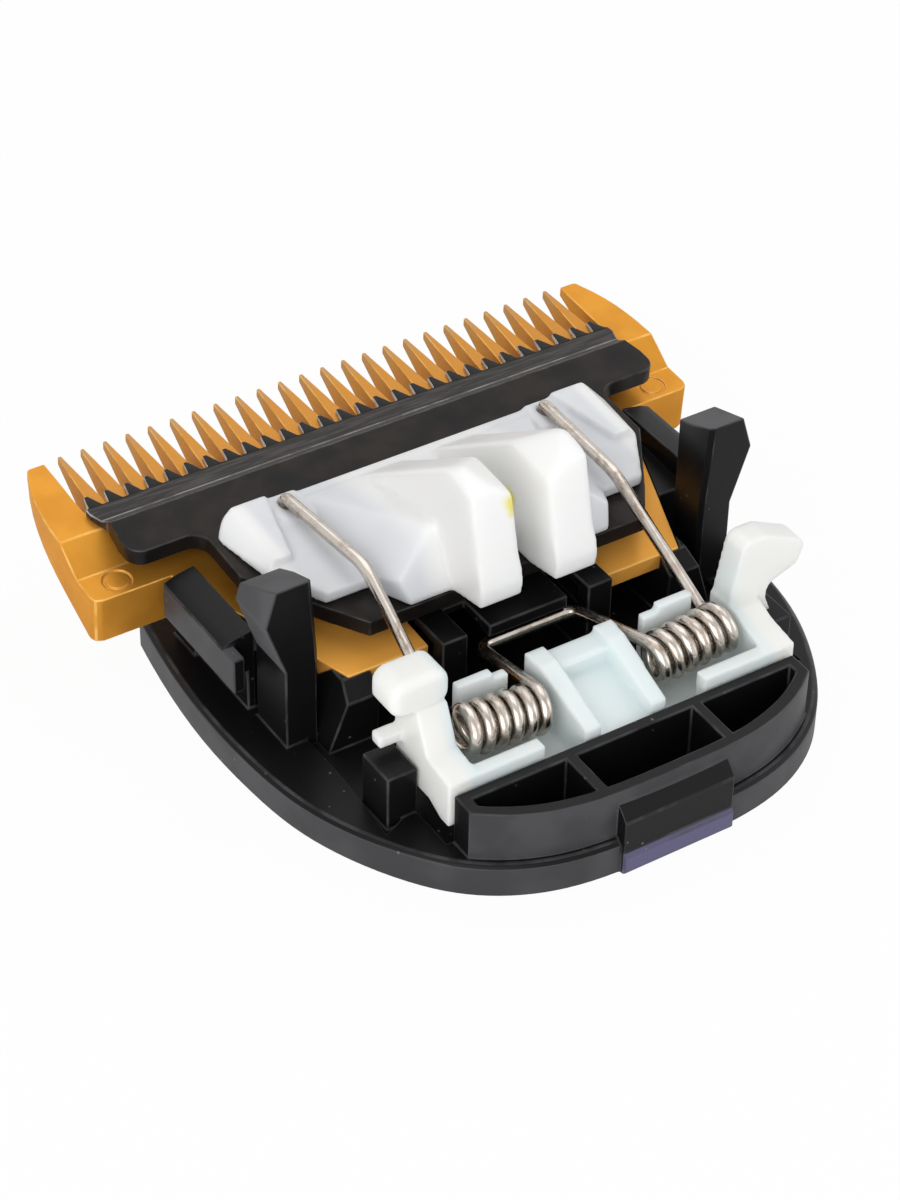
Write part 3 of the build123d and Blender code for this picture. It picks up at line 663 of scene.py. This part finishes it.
@dataclass(frozen=True)
class BrightWire:
    """Bright drawn spring wire with warm brown streaks."""

    base: Colour = colour(0.56, 0.51, 0.46)
    streak: Colour = colour(0.30, 0.22, 0.165)
    roughness: float = 0.20
    rough_spread: tuple[float, float] = (-0.05, 0.10)
    relief_mm: float = 0.003
    relief_share: float = 0.5

    def material(self, effects: SurfaceEffects) -> bpy.types.Material:
        """Make the finish.

        Args:
            effects: the shared effects.

        Returns:
            The material.
        """
        surface = Surface("bright_wire", effects)
        graph = surface.graph
        along = graph.add("ShaderNodeAttribute", attribute_name=ALONG_LAYER).outputs["Fac"]
        around = graph.add("ShaderNodeAttribute", attribute_name=AROUND_LAYER).outputs["Fac"]
        place = graph.add("ShaderNodeCombineXYZ", {"X": around, "Y": along, "Z": 0.0}).outputs[0]
        lines = surface.effect(effects.lines, Place=place, Scale=7.0, Stretch=6.0)
        slow = surface.effect(effects.grain, Place=surface.place, Fine=3.0, Slow=0.5)
        streaks = graph.ramp(lines.outputs["Height"], 0.42, 0.66)
        share = graph.math("MULTIPLY", streaks, slow.outputs["Tone"], True)
        base = graph.mix(share, self.base, self.streak)
        rough = surface.roughness(lines.outputs["Height"], self.roughness, self.rough_spread)
        surface.paint(Base_Color=base, Metallic=1.0, Roughness=rough)
        surface.bump(lines.outputs["Height"], self.relief_mm, self.relief_share)
        return surface.material


@dataclass(frozen=True)
class Softening:
    """How the sharp edges of a piece are broken.

    radius_mm is the width of the broken edge. Only edges sharper than bevel_angle are broken, and none that
    lies on the ground. An edge beside a narrow face is broken by room_share of that face's width at most,
    and where edges run on from one another their widths differ by step_ratio at most.
    """

    radius_mm: float
    segments: int = 2
    bevel_angle: float = math.radians(24)
    crease_angle: float = math.radians(14)
    merge_mm: float = 0.002
    flat_angle: float = math.radians(0.5)
    room_share: float = 0.42
    turn_share: float = 0.15
    step_ratio: float = 1.25
    step_rounds: int = 12

    def _room(self, edge: bmesh.types.BMEdge) -> float:
        """Width in millimetres that an edge can lose on both its faces without folding them.

        Args:
            edge: an edge between two faces.

        Returns:
            The width.
        """
        start = edge.verts[0].co
        way = edge.verts[1].co - start
        length = way.length
        way = way / length
        room = [self.radius_mm / self.room_share]
        for loop in edge.link_loops:
            for side in (loop.link_loop_prev.edge, loop.link_loop_next.edge):
                run = side.verts[1].co - side.verts[0].co
                across = run.cross(way).length
                if across > self.turn_share * run.length:
                    room.append(across)
            for vert in loop.face.verts:
                along = (vert.co - start).dot(way)
                away = (vert.co - start - way * along).length
                if away > self.merge_mm and -self.radius_mm < along < length + self.radius_mm:
                    room.append(away)
        return min(room) * self.room_share

    def _ease(self, work: bmesh.types.BMesh, weight: bmesh.types.BMLayerItem) -> None:
        """Lower the widths of edges that run on from a narrower one, so that widths change in small steps.

        Args:
            work: the mesh.
            weight: the layer with each edge's share of the full width.
        """
        for vert in work.verts:
            chain = [edge for edge in vert.link_edges if edge[weight] > 0.0]
            if len(chain) == 2:
                most = min(edge[weight] for edge in chain) * self.step_ratio
                for edge in chain:
                    edge[weight] = min(edge[weight], most)

    def mesh(self, node: bpy.types.Object, name: str) -> bpy.types.Mesh:
        """Copy a solid's mesh with the broken width of each edge as its bevel weight.

        Args:
            node: the solid.
            name: the new mesh's name.

        Returns:
            The prepared mesh, in metres.
        """
        work = bmesh.new()
        work.from_mesh(node.data)
        bmesh.ops.scale(work, vec=(1 / MM,) * 3, verts=work.verts)
        bmesh.ops.remove_doubles(work, verts=work.verts, dist=self.merge_mm)
        bmesh.ops.dissolve_degenerate(work, edges=work.edges, dist=self.merge_mm)
        bmesh.ops.dissolve_limit(work, angle_limit=self.flat_angle, verts=work.verts, edges=work.edges)
        weight = work.edges.layers.float.new(WEIGHT_LAYER)
        for edge in work.edges:
            turn = edge.calc_face_angle(math.pi)
            rests = max(vert.co.z for vert in edge.verts) < self.merge_mm
            if len(edge.link_faces) == 2 and turn > self.bevel_angle and not rests:
                edge[weight] = min(1.0, self._room(edge) / self.radius_mm)
            edge.smooth = turn < self.crease_angle or edge[weight] > 0.0
        for _ in range(self.step_rounds):
            self._ease(work, weight)
        for face in work.faces:
            face.smooth = True
        bmesh.ops.scale(work, vec=(MM,) * 3, verts=work.verts)
        mesh = bpy.data.meshes.new(name)
        work.to_mesh(mesh)
        work.free()
        return mesh

    def apply(self, item: bpy.types.Object) -> None:
        """Break the weighted edges of an object, note the broken strips and even out its shading.

        Args:
            item: an object with a prepared mesh.
        """
        for _ in range(2):
            item.data.materials.append(None)
        bevel = item.modifiers.new("broken_edges", "BEVEL")
        bevel.limit_method = "WEIGHT"
        bevel.offset_type = "OFFSET"
        bevel.width = self.radius_mm * MM
        bevel.segments = self.segments
        bevel.use_clamp_overlap = False
        bevel.material = 1
        shading = item.modifiers.new("even_shading", "WEIGHTED_NORMAL")
        shading.keep_sharp = True
        settle_modifiers(item)
        faces = item.data.polygons
        strip = [0] * len(faces)
        faces.foreach_get("material_index", strip)
        layer = item.data.attributes.new(EDGE_LAYER, "FLOAT", "FACE")
        layer.data.foreach_set("value", [float(i) for i in strip])
        faces.foreach_set("material_index", [0] * len(faces))


@dataclass(frozen=True)
class Melting:
    """How a waxy moulding loses its edges: its surface is woven anew from small cells and relaxed.

    The part above top_mm is relaxed for top_rounds more.
    """

    cell_mm: float
    rounds: int
    top_rounds: int = 0
    top_mm: tuple[float, float] = (11.4, 12.6)
    pull: float = 0.5
    kept_share: float = 0.4
    merge_mm: float = 0.002

    def mesh(self, node: bpy.types.Object, name: str) -> bpy.types.Mesh:
        """Copy a solid's mesh with its triangles joined.

        Args:
            node: the solid.
            name: the new mesh's name.

        Returns:
            The closed mesh, in metres.
        """
        work = bmesh.new()
        work.from_mesh(node.data)
        bmesh.ops.remove_doubles(work, verts=work.verts, dist=self.merge_mm * MM)
        mesh = bpy.data.meshes.new(name)
        work.to_mesh(mesh)
        work.free()
        return mesh

    def apply(self, item: bpy.types.Object) -> None:
        """Relax the skin of an object.

        Args:
            item: an object with a closed mesh.
        """
        cells = item.modifiers.new("cells", "REMESH")
        cells.mode = "VOXEL"
        cells.voxel_size = self.cell_mm * MM
        cells.use_smooth_shade = True
        settle_modifiers(item)
        low, high = (level * MM for level in self.top_mm)
        top = item.vertex_groups.new(name="top")
        for vert in item.data.vertices:
            top.add([vert.index], max(0.0, min(1.0, (vert.co.z - low) / (high - low))), "REPLACE")
        for rounds, group in ((self.rounds, ""), (self.top_rounds, top.name)):
            relaxed = item.modifiers.new("relaxed", "SMOOTH")
            relaxed.factor = self.pull
            relaxed.iterations = rounds
            relaxed.vertex_group = group
        thinned = item.modifiers.new("thinned", "DECIMATE")
        thinned.ratio = self.kept_share
        settle_modifiers(item)
        item.vertex_groups.clear()


def linked(name: str, data: bpy.types.ID) -> bpy.types.Object:
    """Put data into the scene as an object.

    Args:
        name: the object's name.
        data: its mesh, curve, lamp or camera.

    Returns:
        The object.
    """
    item = bpy.data.objects.new(name, data)
    bpy.context.scene.collection.objects.link(item)
    return item


def settled_mesh(item: bpy.types.Object) -> bpy.types.Mesh:
    """Make a plain mesh of an object as its modifiers show it.

    Args:
        item: the object.

    Returns:
        The mesh.
    """
    bpy.context.view_layer.update()
    depsgraph = bpy.context.evaluated_depsgraph_get()
    shown = item.evaluated_get(depsgraph)
    return bpy.data.meshes.new_from_object(shown, preserve_all_data_layers=True, depsgraph=depsgraph)


def settle_modifiers(item: bpy.types.Object) -> None:
    """Turn an object's modifiers into its plain mesh.

    Args:
        item: the object.
    """
    mesh = settled_mesh(item)
    item.modifiers.clear()
    item.data = mesh


@dataclass
class RigidPiece:
    """A rigid piece shown as a softened copy of its solid."""

    node: str
    name: str
    body: Body
    slot: Slot
    softening: Softening | Melting
    piece: bpy.types.Object | None = None

    def build(self, nodes: dict[str, bpy.types.Object]) -> None:
        """Make the softened copy.

        Args:
            nodes: the frame's solids by name.
        """
        self.piece = linked(self.name, self.softening.mesh(nodes[self.node], self.name))
        self.softening.apply(self.piece)
        mesh = self.piece.data
        layer = mesh.attributes.new(ZONE_LAYER, "FLOAT", "FACE")
        layer.data.foreach_set("value", [self.zone(face) for face in mesh.polygons])

    def zone(self, face: bpy.types.MeshPolygon) -> float:
        """How far a face has the second tone of its finish.

        Args:
            face: the face.

        Returns:
            Zero, unless the piece has such faces.
        """
        return 0.0

    def dress(self, material: bpy.types.Material) -> None:
        """Give the piece its finish and its body.

        Args:
            material: the finish.
        """
        self.piece.data.materials.clear()
        self.piece.data.materials.append(material)
        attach(self.piece, self.body.value)
        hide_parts(self.node)
        LOG.info("%s: %d faces", self.name, len(self.piece.data.polygons))


@dataclass
class Housing(RigidPiece):
    """The black moulding, whose outer walls are paler, partly a textured finish and partly painted light,
    and whose posts have painted light on their outer sides and tops.
    """

    wall_share: float = 0.75
    skin_depth_mm: float = 1.2
    ground_mm: float = 0.5
    clip_half_mm: float = 4.0
    clip_y_mm: float = -20.4
    post_in_mm: float = 13.5
    post_foot_mm: float = 7.5
    post_y_mm: tuple[float, float] = (-3.6, 0.4)
    facing: float = 0.5
    level: float = 0.6

    @cached_property
    def ring(self) -> list[Vector]:
        """Outline of the underside in millimetres."""
        ground = [v.co.to_2d() / MM for v in self.piece.data.vertices if v.co.z < self.ground_mm * MM]
        return [ground[i] for i in convex_hull_2d(ground)]

    def zone(self, face: bpy.types.MeshPolygon) -> float:
        """How far a face has the paler tone: painted light on a post, and on an outer wall a textured
        finish that is partly painted light.

        Args:
            face: the face.

        Returns:
            One on a post's outer side and top, wall_share on an outer wall, else zero.
        """
        spot = face.center.to_2d() / MM
        # Painted light and painted reflection on the posts' outer sides and tops.
        if face.center.z > self.post_foot_mm * MM and abs(spot.x) > self.post_in_mm:
            outward = face.normal.x * math.copysign(1.0, spot.x)
            beside = self.post_y_mm[0] < spot.y < self.post_y_mm[1]
            return 1.0 if beside and max(outward, face.normal.z) > self.facing else 0.0
        on_clip = abs(spot.x) < self.clip_half_mm and spot.y < self.clip_y_mm
        if on_clip or abs(face.normal.z) > self.level:
            return 0.0
        # The outer walls' paler tone: partly a textured finish, partly painted light.
        gap = min(self._gap(spot, a, b) for a, b in zip(self.ring, self.ring[1:] + self.ring[:1]))
        return self.wall_share if gap < self.skin_depth_mm else 0.0

    def _gap(self, spot: Vector, start: Vector, end: Vector) -> float:
        """Distance from a spot to a line between two points of the outline.

        Args:
            spot: the spot.
            start: one point.
            end: the other point.

        Returns:
            The distance.
        """
        way = end - start
        share = max(0.0, min(1.0, (spot - start).dot(way) / way.length_squared))
        return (spot - start - way * share).length


@dataclass
class Cutter(RigidPiece):
    """The dark blade, whose teeth are ground bright on their flanks."""

    root_y_mm: float = 15.0
    level: float = 0.5

    def zone(self, face: bpy.types.MeshPolygon) -> float:
        """How far a face is a ground flank.

        Args:
            face: the face.

        Returns:
            One on the flank of a tooth, else zero.
        """
        ahead = face.center.y > self.root_y_mm * MM
        return 1.0 if ahead and abs(face.normal.z) < self.level else 0.0


@dataclass
class TorsionSpring:
    """One wire: arm, coil, middle loop, coil, arm. Sizes in millimetres."""

    wire_d: float = 0.8
    coil_d: float = 2.6
    coil_turns: int = 5
    coil_out: float = 9.55
    coil_in: float = 4.03
    coil_y: float = -11.9
    coil_z: float = 6.25
    coil_rise: float = 0.55
    arm_tip: tuple[float, float, float] = (9.55, 8.0, 11.08)
    arm_kink: tuple[float, float, float] = (9.05, -0.57, 11.3)
    bight: tuple[float, float, float] = (3.5, -4.65, 5.5)
    tip_hook: float = 0.9
    bend: float = 0.9
    bend_share: float = 0.45
    bend_steps: int = 7
    turn_steps: int = 36
    ring_steps: int = 20
    still_below: float = 8.6
    moves_above: float = 11.0
    piece: bpy.types.Object | None = None

    def _touch(self, point: tuple[float, float, float], middle_z: float, upper: bool) -> float:
        """Angle on the coil where a straight wire from a point meets it.

        Args:
            point: where the wire comes from.
            middle_z: height of the coil's axis there.
            upper: the wire meets the upper side.

        Returns:
            The angle, from +Y towards +Z.
        """
        dy = point[1] - self.coil_y
        dz = point[2] - middle_z
        turn = math.acos(self.coil_d / 2 / math.hypot(dy, dz))
        return math.atan2(dz, dy) + (turn if upper else -turn)

    def _rounded(self, before: Vector, corner: Vector, after: Vector) -> list[Vector]:
        """Points of a round bend at a corner.

        Args:
            before: the point the wire comes from.
            corner: the corner.
            after: the point the wire goes to.

        Returns:
            Points along the bend.
        """
        room = min((before - corner).length, (after - corner).length)
        reach = min(self.bend, room * self.bend_share)
        start = corner + (before - corner).normalized() * reach
        end = corner + (after - corner).normalized() * reach
        steps = [i / self.bend_steps for i in range(self.bend_steps + 1)]
        return [start * (1 - t) ** 2 + corner * (2 * t * (1 - t)) + end * t ** 2 for t in steps]

    def _coil(self) -> list[Vector]:
        """Wind the coil on the +X side, from its outer end to its inner end.

        Returns:
            Points along the coil.
        """
        start = self._touch(self.arm_kink, self.coil_z + self.coil_rise, False)
        stop = self._touch(self.bight, self.coil_z, True)
        sweep = (self.coil_turns + 1) * 2 * math.pi - (stop - start)
        count = int(sweep / (2 * math.pi) * self.turn_steps)
        points = []
        for i in range(count + 1):
            share = i / count
            angle = start - sweep * share
            x = self.coil_out + (self.coil_in - self.coil_out) * share
            z = self.coil_z + self.coil_rise * (1 - share)
            points.append(Vector((x, self.coil_y + self.coil_d / 2 * math.cos(angle),
                                  z + self.coil_d / 2 * math.sin(angle))))
        return points

    def path(self) -> list[Vector]:
        """Lay out the whole wire, from the +X tip to the -X tip.

        Returns:
            Points along the wire, in millimetres.
        """
        coil = self._coil()
        tip = Vector(self.arm_tip)
        end = tip - Vector((0, 0, self.tip_hook))
        kink = Vector(self.arm_kink)
        bight = Vector(self.bight)
        middle = Vector((0, bight.y, bight.z))
        half = [end] + self._rounded(end, tip, kink) + self._rounded(tip, kink, coil[0]) + coil
        half += self._rounded(coil[-1], bight, middle) + [middle]
        other = [Vector((-p.x, p.y, p.z)) for p in reversed(half[:-1])]
        return half + other

    def _tree(self) -> bpy.types.NodeTree:
        """Build the nodes that give the wire's path its round section.

        Returns:
            The node tree.
        """
        tree = bpy.data.node_groups.new("round_wire", "GeometryNodeTree")
        tree.is_modifier = True
        tree.interface.new_socket("Geometry", in_out="INPUT", socket_type="NodeSocketGeometry")
        tree.interface.new_socket("Wire radius", in_out="INPUT", socket_type=VALUE)
        tree.interface.new_socket("Ring steps", in_out="INPUT", socket_type="NodeSocketInt")
        tree.interface.new_socket("Finish", in_out="INPUT", socket_type="NodeSocketMaterial")
        tree.interface.new_socket("Geometry", in_out="OUTPUT", socket_type="NodeSocketGeometry")
        graph = Graph(tree)
        entry = graph.add("NodeGroupInput")
        measure = graph.add("GeometryNodeSplineParameter")
        along = graph.math("DIVIDE", measure.outputs["Length"], MM)
        path = graph.add("GeometryNodeStoreNamedAttribute",
                         {"Geometry": entry.outputs["Geometry"], "Name": ALONG_LAYER, "Value": along})
        section = {"Resolution": entry.outputs["Ring steps"], "Radius": entry.outputs["Wire radius"]}
        ring = graph.add("GeometryNodeCurvePrimitiveCircle", section)
        turn = graph.add("GeometryNodeSplineParameter")
        wave = graph.math("PINGPONG", turn.outputs["Factor"], 0.5)
        profile = graph.add("GeometryNodeStoreNamedAttribute",
                            {"Geometry": ring.outputs["Curve"], "Name": AROUND_LAYER, "Value": wave})
        swept = {"Curve": path.outputs[0], "Profile Curve": profile.outputs[0], "Fill Caps": True}
        tube = graph.add("GeometryNodeCurveToMesh", swept)
        smooth = graph.add("GeometryNodeSetShadeSmooth", {"Geometry": tube.outputs["Mesh"]})
        real = graph.add("GeometryNodeRealizeInstances", {"Geometry": smooth.outputs[0]})
        finish = graph.add("GeometryNodeSetMaterial",
                           {"Geometry": real.outputs[0], "Material": entry.outputs["Finish"]})
        leave = graph.add("NodeGroupOutput")
        tree.links.new(finish.outputs[0], leave.inputs[0])
        return tree

    def build(self, material: bpy.types.Material) -> None:
        """Make the wire.

        Args:
            material: the wire's finish.
        """
        points = [p * MM for p in self.path()]
        curve = bpy.data.curves.new("torsion_spring_path", "CURVE")
        curve.dimensions = "3D"
        spline = curve.splines.new("POLY")
        spline.points.add(len(points) - 1)
        for knot, point in zip(spline.points, points):
            knot.co = (*point, 1.0)
        route = linked("torsion_spring_path", curve)
        tree = self._tree()
        shape = route.modifiers.new("round_wire", "NODES")
        shape.node_group = tree
        values = {"Wire radius": self.wire_d / 2 * MM, "Ring steps": self.ring_steps, "Finish": material}
        for item in tree.interface.items_tree:
            if item.in_out == "INPUT" and item.name in values:
                shape[item.identifier] = values[item.name]
        mesh = settled_mesh(route)
        bpy.data.objects.remove(route)
        self.piece = linked("spring_wire", mesh)

    def dress(self) -> None:
        """Fix the wire's place in the scene and hide the solid that it stands for."""
        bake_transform(self.piece)
        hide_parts("torsion_spring")
        LOG.info("spring_wire: %d faces", len(self.piece.data.polygons))


@dataclass(frozen=True)
class Lamp:
    """A soft square lamp that faces the object.

    way points from the object to the lamp, reach is its distance and size its width. level is how bright a
    white surface that faces it becomes.
    """

    name: str
    way: tuple[float, float, float]
    reach: float
    size: float
    level: float
    tint: tuple[float, float, float] = (1.0, 1.0, 1.0)

    def build(self) -> None:
        """Put the lamp into the scene."""
        data = bpy.data.lights.new(self.name, "AREA")
        data.shape = "SQUARE"
        data.size = self.size
        data.energy = self.level * math.pi ** 2 * self.reach ** 2
        data.color = self.tint
        item = linked(self.name, data)
        way = Vector(self.way).normalized()
        item.location = way * self.reach
        item.rotation_mode = "QUATERNION"
        item.rotation_quaternion = way.to_track_quat("Z", "Y")


@dataclass
class Studio:
    """Camera, floor, surroundings and lamps: a key from the camera's left, a top light and a bluish fill.
    """

    look_at_mm: tuple[float, float, float] = (0.0, -1.5, 8.3)
    back: tuple[float, float, float] = (-0.4446, -0.6499, 0.6164)
    distance_mm: float = 198.088
    roll_deg: float = 1.851
    lens_mm: float = 97.149
    sensor_mm: float = 36.0
    shift: tuple[float, float] = (-0.04098, -0.02938)
    floor_half: float = 3.0
    floor_glow: float = 0.95
    floor_tone: Colour = colour(0.92, 0.92, 0.92)
    ambient: float = 0.50
    lamps: tuple[Lamp, ...] = (
        Lamp("key", (-0.80, -0.72, 0.42), 0.8, 0.8, 0.68),
        Lamp("top", (0.25, 0.35, 1.0), 0.9, 0.9, 0.28),
        Lamp("fill", (0.85, -0.55, 0.35), 0.9, 0.6, 0.16, (0.92, 0.96, 1.0)),
    )

    def camera(self) -> None:
        """Set the camera where the photograph was taken from."""
        back = Vector(self.back).normalized()
        data = bpy.data.cameras.new("camera")
        data.sensor_fit = "AUTO"
        data.sensor_width = self.sensor_mm
        data.lens = self.lens_mm
        data.shift_x, data.shift_y = self.shift
        data.clip_start = 0.01
        data.clip_end = 20.0
        item = linked("camera", data)
        item.location = (Vector(self.look_at_mm) + back * self.distance_mm) * MM
        turn = (-back).to_track_quat("-Z", "Y") @ Quaternion((0, 0, 1), math.radians(self.roll_deg))
        item.rotation_mode = "QUATERNION"
        item.rotation_quaternion = turn
        bpy.context.scene.camera = item

    def seen_white(self, graph: Graph) -> bpy.types.NodeSocket:
        """Tell looks at the surroundings from light that they give.

        Args:
            graph: the graph to add to.

        Returns:
            One where the camera, a reflection or glass looks at the surroundings, else zero.
        """
        rays = graph.add("ShaderNodeLightPath")
        both = graph.math("MAXIMUM", rays.outputs["Is Camera Ray"], rays.outputs["Is Glossy Ray"])
        return graph.math("MAXIMUM", both, rays.outputs["Is Transmission Ray"])

    def floor(self) -> None:
        """Pale floor that keeps the object's shadow."""
        half = self.floor_half
        mesh = bpy.data.meshes.new("floor")
        corners = [(-half, -half, 0), (half, -half, 0), (half, half, 0), (-half, half, 0)]
        mesh.from_pydata(corners, [], [(0, 1, 2, 3)])
        item = linked("floor", mesh)
        material = bpy.data.materials.new("floor")
        material.use_nodes = True
        graph = Graph(material.node_tree)
        out = graph.add("ShaderNodeOutputMaterial")
        paint = graph.add("ShaderNodeBsdfDiffuse", {"Color": self.floor_tone})
        glow = graph.add("ShaderNodeEmission", {"Strength": 1.0})
        share = graph.math("MULTIPLY", self.seen_white(graph), self.floor_glow)
        blend = graph.add("ShaderNodeMixShader", {0: share, 1: paint.outputs[0], 2: glow.outputs[0]})
        graph.tree.links.new(blend.outputs[0], out.inputs["Surface"])
        mesh.materials.append(material)

    def surroundings(self) -> None:
        """White surroundings, plain for the camera and dimmer as a light."""
        world = bpy.data.worlds.new("surroundings")
        world.use_nodes = True
        bpy.context.scene.world = world
        graph = Graph(world.node_tree)
        out = graph.add("ShaderNodeOutputWorld")
        level = graph.ramp(self.seen_white(graph), 0.0, 1.0, self.ambient, 1.0)
        air = graph.add("ShaderNodeBackground", {"Color": colour(1.0, 1.0, 1.0), "Strength": level})
        graph.tree.links.new(air.outputs[0], out.inputs["Surface"])

    def build(self) -> None:
        """Set up everything that isn't the object."""
        self.camera()
        for lamp in self.lamps:
            lamp.build()
        self.floor()
        self.surroundings()
        bpy.context.scene.view_settings.view_transform = "Standard"


def main() -> None:
    """Build the unit's pieces in order, dress them and set up the studio."""
    logging.basicConfig(level=logging.INFO, format="%(name)s: %(message)s")
    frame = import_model()
    effects = SurfaceEffects()
    grease = colour(0.87, 0.77, 0.14)
    # Darker core of the grease stain: partly grease, partly painted shade of the gap at the drive slot.
    grease_and_gap_shade = colour(0.30, 0.25, 0.03)
    stains = (
        Stain(grease, (-1.4, -4.35, 15.5), 1.1),
        Stain(grease, (1.2, -0.5, 12.4), 1.0),
        Stain(grease_and_gap_shade, (-1.25, -4.3, 15.5), 0.32),
    )
    block_finish = WhitePlastic("white_block", warm=colour(0.915, 0.915, 0.905),
                                cool_tint_and_shade=colour(0.735, 0.75, 0.785), cool_x_mm=(5.5, 11.8), stains=stains)
    slide_finish = WhitePlastic("white_slide", warm=colour(0.865, 0.865, 0.835),
                                cool_tint_and_shade=colour(0.76, 0.84, 0.845), cool_x_mm=(-1.0, 10.5))
    housing = Housing("housing", "black_housing", Body.BASE, Slot.BLACK_PLASTIC, Softening(0.12))
    comb = RigidPiece("fixed_blade", "gold_comb", Body.BASE, Slot.GOLD_STEEL, Softening(0.10))
    cutter = Cutter("moving_blade", "dark_cutter", Body.CUTTER, Slot.DARK_STEEL, Softening(0.09))
    block = RigidPiece("drive_block", "white_drive_block", Body.CUTTER, Slot.WHITE_PLASTIC,
                       Melting(0.12, 18, 70))
    slide = RigidPiece("adjuster", "white_adjuster", Body.SLIDE, Slot.WHITE_PLASTIC, Melting(0.12, 7))
    pieces = (
        (housing, BlackPlastic()), (comb, GoldCoat()), (cutter, DarkCoat()), (block, block_finish),
        (slide, slide_finish),
    )
    for piece, finish in pieces:
        piece.build(frame["nodes"])
        piece.dress(finish.material(effects))
    spring = TorsionSpring()
    spring.build(BrightWire().material(effects))
    spring.dress()
    Studio().build()


if __name__ == "__main__":
    main()
